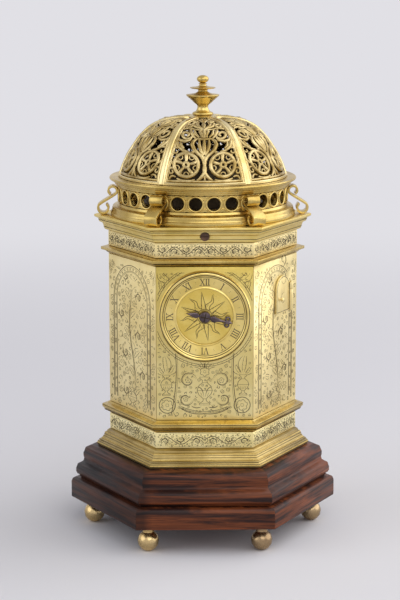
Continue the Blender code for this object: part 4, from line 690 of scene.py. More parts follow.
def hatched(fits, box, gap, turn, length, seed):
    # short parallel cuts where there is room for them
    rng = random.Random(seed)
    strokes = []
    left, low, right, high = box
    y = low
    while y < high:
        x = left + rng.random() * length
        while x < right:
            reach = length * (0.6 + 0.5 * rng.random())
            a, b = (x, y), polar(x, y, reach, turn)
            if fits(a) and fits(b):
                strokes.append(cut(a, b, "fine", 0.6))
            x += reach + gap * 1.4
        y += gap
    return strokes


def denser(line, gap=0.5):
    points = [line[0]]
    for a, b in zip(line, line[1:]):
        count = max(1, int(math.dist(a, b) / gap))
        points += [(a[0] + (b[0] - a[0]) * k / count, a[1] + (b[1] - a[1]) * k / count)
                   for k in range(1, count + 1)]
    return points


def roomFinder(strokes, inside):
    # how far a place is from every stroke, or nothing where it isn't inside
    flat = [point for line, sizes in strokes for point in denser(line)]
    tree = kdtree.KDTree(len(flat))
    for index, (x, y) in enumerate(flat):
        tree.insert((x, y, 0), index)
    tree.balance()

    def room(point):
        limit = inside(point)
        if limit <= 0:
            return 0.0
        return min(limit, tree.find((*point, 0))[2])
    return room


def filled(strokes, box, inside, sizes, seed, tries=1500):
    # packs smaller and smaller curls, leaves and flowers into whatever room the drawing leaves
    rng = random.Random(seed)
    left, low, right, high = box
    room = roomFinder(strokes, inside)
    placed, added = [], []
    for largest, smallest, kinds in sizes:
        for attempt in range(tries):
            point = (left + (right - left) * rng.random(), low + (high - low) * rng.random())
            free = room(point)
            if free < smallest:
                continue
            for x, y, radius in placed:
                free = min(free, math.hypot(point[0] - x, point[1] - y) - radius)
                if free < smallest:
                    break
            if free < smallest:
                continue
            radius = min(free, largest) * 0.92
            placed.append((*point, radius))
            turn, hand = rng.random() * tau, rng.choice((1, -1))
            kind = rng.choice(kinds)
            if kind == "curl":
                added.append(tapered(curl(*point, radius, turn, 1.1 + 0.4 * rng.random(), hand, 12, 0.22), "line"))
                added += leaf(*polar(*point, radius * 0.5, turn + 2.6),
                              turn + 2.9, radius * 0.5, radius * 0.3, 0.1, 0, "fine")
            elif kind == "leaf":
                added += leaf(*polar(*point, -radius, turn), turn, radius * 1.9, radius * 0.9, 0.1 * hand, 2,
                              "line" if radius > 1.2 else "fine")
            elif kind == "flower":
                added += flower(*point, radius, 5, turn)
            else:
                added.append(tapered(curl(*point, radius, turn, 0.6, hand, 5, 0.4), "line", 0.2, 1.0))
    return added


def faceWays(side):
    # along an upright face of the case, and out of it; the sides are numbered anticlockwise from the dial's
    turn = tau * side / case["sides"]
    return Vector((math.cos(turn), math.sin(turn), 0)), Vector((math.sin(turn), -math.cos(turn), 0))


def onFace(strokes, side, lift=0.0):
    # a drawing laid on a face, each stroke sunk by a share of its half width
    along, normal = faceWays(side)
    laid = []
    for line, sizes in strokes:
        out = case["faceDistance"] + lift - 0.6 * max(sizes) * mm
        laid.append(([normal * out + along * a * mm + Vector((0, 0, b * mm)) for a, b in line],
                     [size * mm for size in sizes]))
    return laid


plainTop = 2.4  # the band under the upper string that stays plain
panelBox = (-case["faceHalf"] / mm + 0.5, case["panelLow"] / mm + 0.5, case["faceHalf"] / mm - 0.5,
            case["panelHigh"] / mm - plainTop)
dialZ = case["dialHeight"] / mm


def clipped(strokes, keep):
    # drops what falls outside, cutting strokes where they leave
    kept = []
    for line, sizes in strokes:
        run = []
        for point, size in [*zip(line, sizes), (None, 0)]:
            if point and keep(point) > 0:
                run.append((point, size))
                continue
            if len(run) > 1:
                kept.append(tuple(list(part) for part in zip(*run)))
            run = []
    return kept


def insideBox(box):
    left, low, right, high = box
    return lambda p: min(p[0] - left, right - p[0], p[1] - low, high - p[1])


dialPanel = {
    "surround": (22.4, 23.3),
    "ticks": 72,
    "bezel": 21.35,
    "fills": ((2.4, 0.95, ("curl", "leaf", "leaf")), (0.95, 0.62, ("leaf", "comma", "curl"))),
    "fillSeed": 11,
    "hatchFrom": 118,
    "hatchSeed": 5,
}


def drawFrontPanel():
    # circles with a minute scale round the bezel, a vase with scrolls under it, leaves in the corners
    inner, outer = dialPanel["surround"]
    strokes = [even(arc(0, dialZ, radius, 0, tau, 160), "line") for radius in (inner, outer)]
    for k in range(dialPanel["ticks"]):
        turn = tau * k / dialPanel["ticks"]
        strokes.append(cut(polar(0, dialZ, inner, turn), polar(0, dialZ, outer, turn), "fine", 1))
    half = [
        # corner leaves over the dial
        *leaf(21.0, 129.4, -2.35, 8.5, 3.6, 0.18, 5),
        *leaf(20.8, 124.5, -1.75, 5.4, 2.4, -0.2, 3),
        *leaf(14.0, 129.2, -2.9, 6.0, 2.4, 0.2, 3),
        tapered(curl(18.2, 127.0, 2.1, 0.6, 1.3, 1), "line"),
        # upright stems at the sides, with a pod at the foot of each
        even(arc(17.0, 66.4, 3.7, 0, tau, 24), "bold"),
        *flower(17.0, 66.4, 2.6, 6),
        *vase(17.4, 71.0, 5.6, 9.5),
        *leaf(17.4, 80.5, 1.45, 10.0, 3.6, 0.1, 4),
        *leaf(17.0, 80.5, 2.1, 6.5, 2.6, 0.2, 3),
        *leaf(18.0, 80.5, 0.95, 5.0, 2.2, -0.2, 3),
        even(bend((15.4, 61.5), (13.2, 90.5), 0.04, 16), "bold"),
        even(bend((14.7, 61.5), (12.5, 90.0), 0.04, 16), "fine"),
        # scrolls beside the middle vase
        *scroll(7.6, 78.0, 4.7, -2.3, -1, 5, 1.35),
        *scroll(8.6, 69.2, 4.0, 2.4, 1, 4, 1.2),
        tapered(bend((0.8, 71.0), (4.2, 75.2), 0.25), "bold"),
        tapered(bend((1.0, 66.0), (6.6, 66.6), -0.2), "bold"),
        *plume(1.2, 82.5, 0.9, 5.2, 4, 1.0, 0.25, "line"),
    ]
    # hanging garland under it all
    for drop, weight in ((0.0, "bold"), (0.9, "fine"), (2.2, "line")):
        line = bend((0, 62.4 + drop * 0.5), (13.0, 66.8 + drop * 0.2), -0.12 + drop * 0.02, 12)
        half.append(tapered(line, weight, 1, 0.4))
    for k in range(7):
        half += leaf(1.2 + 1.6 * k, 62.9 + 0.05 * k * k, 0.25 + 0.05 * k, 1.9, 1.0, 0.1, 0, "fine")
    strokes += mirrored(half) + vase(0, 66.5, 7.4, 13.0) + flower(0, 82.0, 2.2, 6, 0.5)

    def keep(point):
        return min(insideBox(panelBox)(point), math.hypot(point[0], point[1] - dialZ) - dialPanel["bezel"])

    strokes = clipped(strokes, keep)
    strokes += filled(strokes, panelBox, keep, dialPanel["fills"], dialPanel["fillSeed"])
    return strokes + hatched(lambda p: keep(p) > 0.4 and p[1] > dialPanel["hatchFrom"],
                             panelBox, 0.9, 0.5, 1.2, dialPanel["hatchSeed"])


sidePanel = {
    "archTop": 110.4,
    "reach": 17.0,
    "lines": ((0.0, "bold"), (0.8, "fine"), (2.6, "line"), (3.1, "fine")),
    "niche": 3.4,
    "sway": 2.6,
    "swayTurn": 0.115,
    "fills": ((3.0, 1.4, ("curl", "leaf", "flower")), (1.4, 0.85, ("leaf", "comma", "curl"))),
    "fillSeed": 20,
}


def drawSidePanel(side, shutterBox=None):
    # an arch on two pillars round a tall stand of plumes and scrolls
    left, low = panelBox[:2]
    top, reach = sidePanel["archTop"], sidePanel["reach"]
    half = []
    for inset, weight in sidePanel["lines"]:
        radius = reach - inset
        half.append(even(arc(0, top, radius, 0, math.pi / 2, 26), weight))
        half.append(even([(radius, top - (top - low - 3.2) * k / 12) for k in range(13)], weight))
    for k in range(9):
        turn = math.pi / 2 * (k + 0.5) / 9
        half += leaf(*polar(0, top, reach - 2.4, turn), turn, 1.5, 0.9, 0, 0, "fine")
    for k in range(8):
        z = low + 6.0 + k * 5.9
        half += (flower(reach - 1.6, z, 0.62, 4, 0.4) if k % 2
                 else leaf(reach - 1.6, z - 1.6, math.pi / 2, 3.4, 1.3, 0, 2, "fine"))
    # leaves in the corner over the arch
    half += leaf(20.9, 129.3, -2.5, 7.4, 3.2, 0.2, 4) + leaf(21.0, 127.0, -1.8, 7.0, 2.8, 0.15, 4)
    half.append(tapered(curl(18.4, 125.6, 1.8, 0.2, 1.3, 1), "line"))
    for k in range(4):
        z = low + 0.5 + 0.8 * k
        half.append(even([(reach + 0.9 - 0.6 * k, z), (-left, z)], "fine"))
    # stand in the middle: two leaning plumes wound about a stem, thrown to one side and back
    flip = 1 if side % 2 else -1

    def swayAt(z):
        return flip * sidePanel["sway"] * math.sin((z - low) * sidePanel["swayTurn"])

    stem = [(swayAt(z), z) for z in range(int(low) + 4, 124, 2)]
    body = [tapered(stem, "bold"), tapered([(x + 0.7, z) for x, z in stem], "fine")]
    for k, z in enumerate(range(int(low) + 6, 122, 9)):
        x = swayAt(z)
        way = 1 if k % 2 else -1
        body += plume(x, z, math.pi / 2 - way * 0.75, 10.5, 3, 0.9, 0.22 * way)
        body += leaf(x, z, math.pi / 2 + way * 0.9, 8.2, 3.4, -0.16 * way, 4)
        body += scroll(x + way * 7.2, z + 2.2, 3.2, -1.4 * way, -way, 4, 1.2)
    body += vase(0, low + 1.0, 9.0, 9.0)

    def inNiche(point):
        x, z = abs(point[0]), point[1]
        edge = reach - sidePanel["niche"]
        if z > top:
            return edge - math.hypot(x, z - top)
        return min(edge - x, z - low - 0.3)

    def keep(point):
        limit = insideBox(panelBox)(point)
        if shutterBox:
            limit = min(limit, -insideBox(shutterBox)(point))
        return limit

    strokes = clipped(mirrored(half) + clipped(body, inNiche), keep)
    return strokes + filled(strokes, panelBox, keep, sidePanel["fills"], sidePanel["fillSeed"] + side)


friezeLook = {
    "fills": ((1.4, 0.6, ("leaf", "curl")), (0.6, 0.34, ("comma", "leaf"))),
    "tries": 900,
    "lower": (40, 6),  # seed and scrolls in a side
    "upper": (50, 8),
    "lostPin": (-3.75, 49.2, 0.42),
}


def drawFrieze(node, seed, count):
    # a winding stem with a scroll in each bay, between two lines
    low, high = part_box(node)[0].z / mm + 0.35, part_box(node)[1].z / mm - 0.35
    middle, tall = (low + high) / 2, high - low
    halfWide = case["faceHalf"] / mm - 0.3
    strokes = [even([(-halfWide + halfWide * 2 * k / 8, z) for k in range(9)], "fine")
               for z in (low + 0.15, high - 0.15)]
    bay = halfWide / (count / 2)
    stem = [(x * 0.5, middle + tall * 0.28 * math.sin(x * 0.5 / bay * math.pi)) for x in range(int(halfWide * 2))]
    half = [tapered(stem, "bold", 1, 0.6)]
    for k in range(count // 2):
        way = 1 if k % 2 else -1
        half += scroll(bay * (k + 0.5), middle + way * tall * 0.1, tall * 0.36, way * 1.4, -way, 4, 1.1, tall > 5)
        half += leaf(bay * k + 0.4, middle, way * 0.9, tall * 0.42, tall * 0.2, 0.1, 2, "fine")
    strokes += mirrored(half) + flower(0, middle, tall * 0.22, 6)
    box = (-halfWide, low, halfWide, high)
    strokes = clipped(strokes, insideBox(box))
    return strokes + filled(strokes, box, insideBox(box), friezeLook["fills"], seed, friezeLook["tries"])


shutterSide = 1


def shutterBounds():
    # where the leaf covers its face, in the drawing's own measures
    turn = tau * shutterSide / case["sides"]
    spots = [v.co for v in nodes["shutter"].data.vertices]
    along = [(p.x * math.cos(turn) + p.y * math.sin(turn)) / mm for p in spots]
    up = [p.z / mm for p in spots]
    return min(along), min(up), max(along), max(up)


def engraveCase():
    for side, name in enumerate(("Front", "FrontRight", "BackRight", "Back", "BackLeft", "FrontLeft")):
        if side == 0:
            drawing = drawFrontPanel()
        else:
            drawing = drawSidePanel(side, shutterBounds() if side == shutterSide else None)
        addLines(f"engraving{name}", onFace(drawing, side))
        friezes = []
        for level in ("lower", "upper"):
            seed, count = friezeLook[level]
            friezes += drawFrieze(f"{level}_frieze", seed + side, count)
        if side == shutterSide:
            # the hole of a lost pin, drawn as a dark ring of painted shade
            friezes.append(even(arc(*friezeLook["lostPin"], 0, tau, 10), "bold"))
        addLines(f"frieze{name}", onFace(friezes, side))


engraveCase()


def shutterDrawing():
    # a border and a few curls on the leaf, clear of its knuckle
    left, low, right, high = shutterBounds()
    knuckle = (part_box("shutter_hinge_pin")[1].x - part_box("shutter_hinge_pin")[0].x) / mm * 2.2
    a, b, c, d = left + 0.55, low + 0.55, right - knuckle, high - 0.55
    middle, reach = (a + c) / 2, (c - a) / 2
    strokes = [even([(c, b)] + arc(middle, d - reach, reach, 0, math.pi, 12) + [(a, b), (c, b)], "line")]
    for k in range(3):
        heart = b + reach * (0.9 + 1.5 * k)
        strokes.append(tapered(curl(middle, heart, reach * 0.62, 2.0 * k, 1.2, 1 - 2 * (k % 2), 12, 0.3), "fine"))
    return strokes


def leafHeight():
    # how far the outer face of the leaf stands off the case
    normal = faceWays(shutterSide)[1]
    outer = [p for p in nodes["shutter"].data.polygons if p.normal.dot(normal) > 0.99]
    widest = max(outer, key=lambda p: p.area)
    return widest.center.dot(normal) - case["faceDistance"]


def hexOutline(node, height):
    # the corners of a moulding at a height, with its reach there
    edges = [[nodes[node].data.vertices[v].co for v in edge.vertices] for edge in nodes[node].data.edges]
    found = [0.0]
    for a, b in edges:
        onCorner = all(abs(math.atan2(p.y, p.x)) < 0.004 and p.x > 0 for p in (a, b))
        if onCorner and a.z != b.z and min(a.z, b.z) <= height <= max(a.z, b.z):
            found.append(a.x + (b.x - a.x) * (height - a.z) / (b.z - a.z))
    return [around(max(found), tau * k / case["sides"], height) for k in range(case["sides"] + 1)]


mouldingLines = {
    # heights from each moulding's foot, in millimetres; the lines are painted shade in the creases between its steps
    "base_moulding": {"bead": (1.1, 3.3, 5.9), "line": (0.5, 1.75, 2.6, 4.3, 5.2)},
    "lower_string": {"bead": (), "line": (1.5, 3.9)},
    "upper_string": {"bead": (), "line": (1.0,)},
    "cornice": {"bead": (), "line": (1.6, 5.0)},
}


def mouldingStrokes(kind, size):
    strokes = []
    for node, levels in mouldingLines.items():
        for level in levels[kind]:
            corners = hexOutline(node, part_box(node)[0].z + level * mm)
            for a, b in zip(corners, corners[1:]):
                strokes.append(([a, (a + b) / 2, b], [size * mm] * 3))
    return strokes


addLines("shutterEngraving", onFace(shutterDrawing(), shutterSide, leafHeight()), "line", "shutter")
addLines("mouldingBeads", mouldingStrokes("bead", 0.26), "gilt", sides=8)
# painted shade: dark lines along the creases of the mouldings
addLines("mouldingLines", mouldingStrokes("line", 0.14))
print("case engraved")


# Dial: numerals, sun and hand

numerals = ("XII", "I", "II", "III", "IIII", "V", "VI", "VII", "VIII", "IX", "X", "XI")
letters = {
    # strokes of a letter one high, where its serifs are, and its width
    "I": ([((0, 0), (0, 1), "thick")], [(0, 0), (0, 1)], 0.16),
    "V": ([((-0.28, 1), (0, 0), "thick"), ((0.28, 1), (0, 0), "thin")], [(-0.28, 1), (0.28, 1)], 0.62),
    "X": ([((-0.28, 1), (0.28, 0), "thick"), ((0.28, 1), (-0.28, 0), "thin")],
          [(-0.28, 1), (0.28, 1), (-0.28, 0), (0.28, 0)], 0.62),
}
dialLook = {
    "numeralLow": 14.3,
    "numeralHigh": 17.3,
    "numeralGap": 0.20,
    "thick": 0.36,
    "thin": 0.19,
    "serif": 0.55,
    "hourMarks": (15.3, 16.0),
    "markLong": 0.35,
    "markHalf": 0.14,
    "rings": (18.1,),
    "rays": 12,
    "rayInner": 3.4,
    "rayOuter": 11.7,
    "rayHalf": 1.15,
    "rayWave": 0.75,
    "firstRay": 0.13,
    "rimInner": 12.75,
    "rimOuter": 13.7,
    "rimRise": 0.28,
    "grooves": (19.0, 20.15),
}
dialFaces = {
    "chapter": 0.0002 + 0.0014,
    "disc": -(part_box("alarm_disc")[0].y + case["faceDistance"]),
}


def onDial(strokes, height):
    # a drawing on the dial, x to the right and y up from its centre, height above the face
    laid = []
    for line, sizes in strokes:
        out = -(case["faceDistance"] + height - 0.5 * max(sizes) * mm)
        laid.append(([Vector((a * mm, out, case["dialHeight"] + b * mm)) for a, b in line],
                     [size * mm for size in sizes]))
    return laid


def drawNumerals():
    strokes = []
    low, gap = dialLook["numeralLow"], dialLook["numeralGap"]
    tall = dialLook["numeralHigh"] - low
    serif = dialLook["serif"] / tall
    for hour, word in enumerate(numerals):
        turn = -tau * hour / len(numerals)
        widths = [letters[letter][2] for letter in word]
        cursor = -(sum(widths) + gap * (len(word) - 1)) / 2
        for letter, wide in zip(word, widths):
            middle = cursor + wide / 2
            cursor += wide + gap
            lines, feet, wide = letters[letter]
            lines = lines + [((x - serif, y), (x + serif, y), "thin") for x, y in feet]
            for (ax, ay), (bx, by), weight in lines:
                line = [turned((ax + (bx - ax) * k / 3 + middle) * tall, low + (ay + (by - ay) * k / 3) * tall, turn)
                        for k in range(4)]
                strokes.append((line, [dialLook[weight]] * 4))
        half = turn - tau / 24
        for radius in dialLook["hourMarks"]:
            mark = [turned(0, radius + more, half) for more in (0, dialLook["markLong"])]
            strokes.append((mark, [dialLook["markHalf"]] * 2))
    return strokes


def drawSun():
    # straight and waving rays in turn, round a plain middle
    strokes = []
    count, steps = dialLook["rays"], 12
    inner, outer = dialLook["rayInner"], dialLook["rayOuter"]
    for k in range(count):
        turn = tau * k / count + dialLook["firstRay"]
        reach = outer if k % 2 else outer * 0.96
        for way in (1, -1):
            line = []
            for step in range(steps + 1):
                share = step / steps
                across = way * dialLook["rayHalf"] * (1 - share)
                if k % 2 == 0:
                    across += dialLook["rayWave"] * math.sin(share * tau * 1.35) * (1 - share * 0.5)
                line.append(turned(inner + (reach - inner) * share, across, turn))
            strokes.append(tapered(line, "line", 1, 0.5))
    for k in range(count * 2):
        turn = tau * (k + 0.5) / (count * 2) + dialLook["firstRay"]
        strokes.append(tapered([polar(0, 0, radius, turn) for radius in (4.2, 5.2, 6.4)], "fine"))
    strokes.append(even(arc(0, 0, 3.3, 0, tau, 40), "line"))
    return strokes


def buildDialRim():
    # a narrow raised lip where the turning disc meets the ring of hours
    inner, outer, rise = dialLook["rimInner"] * mm, dialLook["rimOuter"] * mm, dialLook["rimRise"] * mm
    floor, top = dialFaces["chapter"] - 0.00005, dialFaces["chapter"] + rise
    wide = outer - inner
    profile = [(inner, floor), (inner, top - rise * 0.4), (inner + wide * 0.12, top - rise * 0.1),
               (inner + wide * 0.3, top), (inner + wide * 0.5, top), (inner + wide * 0.75, top - rise * 0.45),
               (outer, floor)]
    mesh = lathe(profile, False, turning["steps"] * 2)
    mesh.transform(dialPlace)
    addPiece("dialLip", softened(mesh, 0, 50), "dial", "case")


def bezelGrooves():
    # dark lines turned into the bezel, at the height that it has there
    profile = meridian("dial_ring", dialPlace.inverted())[0]
    strokes = []
    for groove in dialLook["grooves"]:
        height = 0.0
        for (ra, za), (rb, zb) in zip(profile, profile[1:] + profile[:1]):
            if ra != rb and min(ra, rb) <= groove * mm <= max(ra, rb):
                height = max(height, za + (zb - za) * (groove * mm - ra) / (rb - ra))
        strokes += onDial([even(arc(0, 0, groove, 0, tau, 120), "line")], height)
    return strokes


circles = [even(arc(0, 0, radius, 0, tau, 96), "line") for radius in dialLook["rings"]]
addLines("chapterNumerals", onDial(drawNumerals(), dialFaces["chapter"]), "niello")
addLines("chapterLines", onDial(circles, dialFaces["chapter"]))
buildDialRim()
addLines("bezelGrooves", bezelGrooves())
addLines("alarmSun", onDial(drawSun(), dialFaces["disc"]), body="alarm_setting")

handLook = {
    # half widths along the blade, both from the tip of the tail and in millimetres
    "blades": (
        ((-8.8, 0.06), (-7.6, 0.36), (-6.2, 0.74), (-5.0, 1.12), (-4.2, 1.28), (-3.4, 1.12), (-2.9, 0.66),
         (-2.2, 0.50)),
        ((2.2, 0.50), (2.8, 0.80), (3.4, 1.25), (4.2, 1.32), (5.2, 1.08), (6.6, 0.74), (7.8, 0.50), (9.4, 0.42)),
        ((9.4, 0.42), (10.2, 0.62), (10.9, 0.86), (11.5, 0.74), (12.2, 0.36), (12.85, 0.05)),
    ),
    "lobes": (10.3, 1.35, 0.92, 0.40),  # along, across, radius and half thickness
    "ridge": 0.28,
    "hubTurns": (0.3, 0.6, 0.9, 1.2, 1.45),
    "pinReach": 2.15,
    "pinHalf": 0.24,
}


def closedStrip(name, section, stations):
    # a closed body from the rings of corners at its stations, a section having so many
    faces = []
    for k in range(len(stations) // section - 1):
        for i in range(section):
            a, b = k * section + i, k * section + (i + 1) % section
            faces.append((a, b, b + section, a + section))
    last = len(stations) - section
    faces += [tuple(reversed(range(section))), tuple(range(last, last + section))]
    return newMesh(name, stations, faces)


def ridgedBlade(stations, low, high):
    # a closed blade with sloping sides, lying along y
    shoulder = high - handLook["ridge"] * mm
    vertices = []
    for y, half in stations:
        vertices += [(-half * mm, y * mm, low), (half * mm, y * mm, low), (half * mm, y * mm, shoulder),
                     (0, y * mm, high), (-half * mm, y * mm, shoulder)]
    return closedStrip("blade", 5, vertices)


def buildHand():
    low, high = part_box("hour_hand")
    spot = nodes["hour_hand"].data.vertices
    reach = max((Vector((v.co.x, 0, v.co.z - case["dialHeight"])) for v in spot), key=lambda p: p.length)
    place = dialPlace @ Matrix.Rotation(-math.atan2(reach.x, reach.z), 4, "Z")
    under, over = -(high.y + case["faceDistance"]), -(low.y + case["faceDistance"])
    blade = under + (over - under) * 0.40
    parts = [ridgedBlade(stations, under + 0.0002, blade) for stations in handLook["blades"]]
    rim, crown = blade + 0.0003, over - 0.00025
    hub = [(0, under), (0.0026, under), (0.0026, blade), (0.0024, rim)]
    hub += [(0.0022 * math.cos(turn), rim + (crown - blade - 0.0003) * math.sin(turn))
            for turn in handLook["hubTurns"]]
    parts.append(lathe(hub + [(0, crown)], True, 40))
    out, across, radius, thick = (value * mm for value in handLook["lobes"])
    for way in (1, -1):
        ring = [polar(radius, (under + blade) / 2, thick, tau * k / 8) for k in range(8)]
        mesh = lathe(ring, False, 28)
        mesh.transform(Matrix.Translation((way * across, out, 0)))
        parts.append(mesh)
    mesh = joined(parts)
    mesh.transform(place)
    addPiece("hourHandForged", softened(mesh, 0.00006, 35), "blued", "hand", ("hour_hand",))
    bar = [(way * handLook["pinReach"], handLook["pinHalf"]) for way in (-1, 1)]
    pins = [ridgedBlade(bar, blade, over) for k in range(2)]
    pins[1].transform(Matrix.Rotation(math.pi / 2, 4, "Z"))
    pin = joined(pins)
    pin.transform(place)
    addPiece("hubPins", pin, "bell", "hand")


buildHand()
print("dial engraved")


# Dome: ribs, cast openwork between them, and the ring that carries it

domeLook = {
    "low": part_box("dome_ribs")[0].z,
    "top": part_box("dome_ribs")[1].z,
    "ribFoot": 4.7,
    "ribTop": 3.0,
    "ribDeep": 2.0,
    "stations": 44,
    "strandDepth": 1.05,
    "openworkTop": 43.0,
    "openworkFoot": 1.4,
    # the three panels behind are cast heavier, and keep daylight out of the front ones
    "weights": (1.04, 0.92, 1.26, 1.34, 1.26, 0.92),
}


def throughPoints(points, perSpan):
    padded = [points[0] * 2 - points[1]] + points + [points[-1] * 2 - points[-2]]
    line = []
    for a, b, c, d in zip(padded, padded[1:], padded[2:], padded[3:]):
        for step in range(perSpan):
            t = step / perSpan
            line.append((b * 2 + (c - a) * t + (a * 2 - b * 5 + c * 4 - d) * t * t
                         + (b * 3 - a - c * 3 + d) * t * t * t) / 2)
    return line + [points[-1]]


def domeOutline():
    # the top of the rib that points along x, from its foot to the crown
    groups = {}
    for vertex in nodes["dome_ribs"].data.vertices:
        p = vertex.co
        if p.x > 0.0075 and abs(p.y) < 0.0012:
            key = round(math.degrees(math.atan2(p.z - domeLook["low"], p.x)))
            here = Vector((p.x, p.z))
            if key not in groups or here.length > groups[key].length:
                groups[key] = here
    found = [groups[key] for key in sorted(groups)]
    kept = [found[0]]
    for point in found[1:]:
        if (point - kept[-1]).length > 0.002:
            kept.append(point)
    return throughPoints(kept + [Vector((0, domeLook["top"]))], 8)


domeLine = domeOutline()
domeMarks = [0.0]
for a, b in zip(domeLine, domeLine[1:]):
    domeMarks.append(domeMarks[-1] + (b - a).length)


def domeAt(along, depth):
    # radius and height, metres, depth below the ribs' crown line
    k = 1
    while k < len(domeMarks) - 1 and domeMarks[k] < along:
        k += 1
    a, b = domeLine[k - 1], domeLine[k]
    step = (b - a).normalized()
    point = a + step * (along - domeMarks[k - 1])
    return point + Vector((-step.y, step.x)) * depth


def ribWidth(along):
    share = along / domeMarks[-1]
    return (domeLook["ribFoot"] + (domeLook["ribTop"] - domeLook["ribFoot"]) * share) * mm


def ribStrip(turn):
    # a strip with a rounded crown between two small edge beads
    section = [(-0.5, 0.98), (-0.5, 0.45), (-0.46, 0.33), (-0.39, 0.33), (-0.35, 0.42)]
    section += [(0.35 * math.sin(math.pi * (k / 8 - 0.5)), 0.38 - 0.36 * math.cos(math.pi * (k / 8 - 0.5)))
                for k in range(1, 8)]
    section += [(0.35, 0.42), (0.39, 0.33), (0.46, 0.33), (0.5, 0.45), (0.5, 0.98)]
    vertices = []
    for k in range(domeLook["stations"] + 1):
        along = domeMarks[-1] * 0.985 * k / domeLook["stations"]
        wide = ribWidth(along)
        for across, deep in section:
            point = domeAt(along, domeLook["ribDeep"] * mm * deep)
            vertices.append((point.x, wide * across, max(point.y, domeLook["low"])))
    mesh = closedStrip("rib", len(section), vertices)
    mesh.transform(Matrix.Rotation(turn, 4, "Z"))
    return mesh


def buildRibs():
    low, top = domeLook["low"], domeLook["top"]
    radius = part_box("dome_ribs")[1].y - 0.0002
    foot = [(radius, low), (radius, low + 0.0009), (radius - 0.0003, low + 0.0012),
            (radius - 0.0026, low + 0.0012), (radius - 0.0030, low + 0.0009), (radius - 0.0030, low)]
    boss = [(0, top - 0.0019), (0.0064, top - 0.0019), (0.0067, top - 0.0012), (0.0067, top - 0.0006),
            (0.0060, top - 0.0001), (0, top - 0.0001)]
    parts = [ribStrip(tau * k / case["sides"]) for k in range(case["sides"])]
    parts += [lathe(foot, False, 120), lathe(boss, True, 48)]
    addPiece("domeRibsPolished", softened(joined(parts), 0, 30), "paleGilt", "case", ("dome_ribs",))


def swelling(points, thin, thick, peak=0.5):
    # a leaf-like strand that swells towards its peak, half widths in millimetres
    last = len(points) - 1
    sizes = []
    for k in range(last + 1):
        share = k / last
        rise = share / peak if share < peak else (1 - share) / (1 - peak)
        sizes.append(thin + (thick - thin) * math.sin(rise * math.pi / 2))
    return points, sizes


def roundel(x, y, radius):
    # a ring of five lights round a boss
    strokes = [even(arc(x, y, radius, 0, tau, 30), 0.92), even(arc(x, y, radius * 0.22, 0, tau, 10), 0.80)]
    for k in range(5):
        turn = tau * (k + 0.25) / 5
        a, b = (polar(x, y, radius * share, turn) for share in (0.25, 0.97))
        strokes.append(swelling(bend(a, b, 0.06, 5), 0.62, 0.98, 0.9))
        mid = turn + tau / 10
        lobe = arc(*polar(x, y, radius * 0.80, mid), radius * 0.20, mid + 1.0, mid - 1.0 + tau, 7)
        strokes.append(tapered(lobe, 0.34, 0.6, 0.6))
    return strokes


def knops():
    # buds where strands meet
    strokes = []
    for x, y, size in ((5.2, 14.6, 0.95), (12.6, 13.0, 0.8), (11.0, 26.6, 0.75), (7.8, 28.6, 0.7), (4.8, 33.4, 0.7)):
        for way in (1, -1):
            strokes.append(([(way * x, y + size * up) for up in (-0.8, -0.4, 0, 0.4, 0.8)],
                            [size * share for share in (0.35, 0.85, 1, 0.85, 0.35)]))
    return strokes


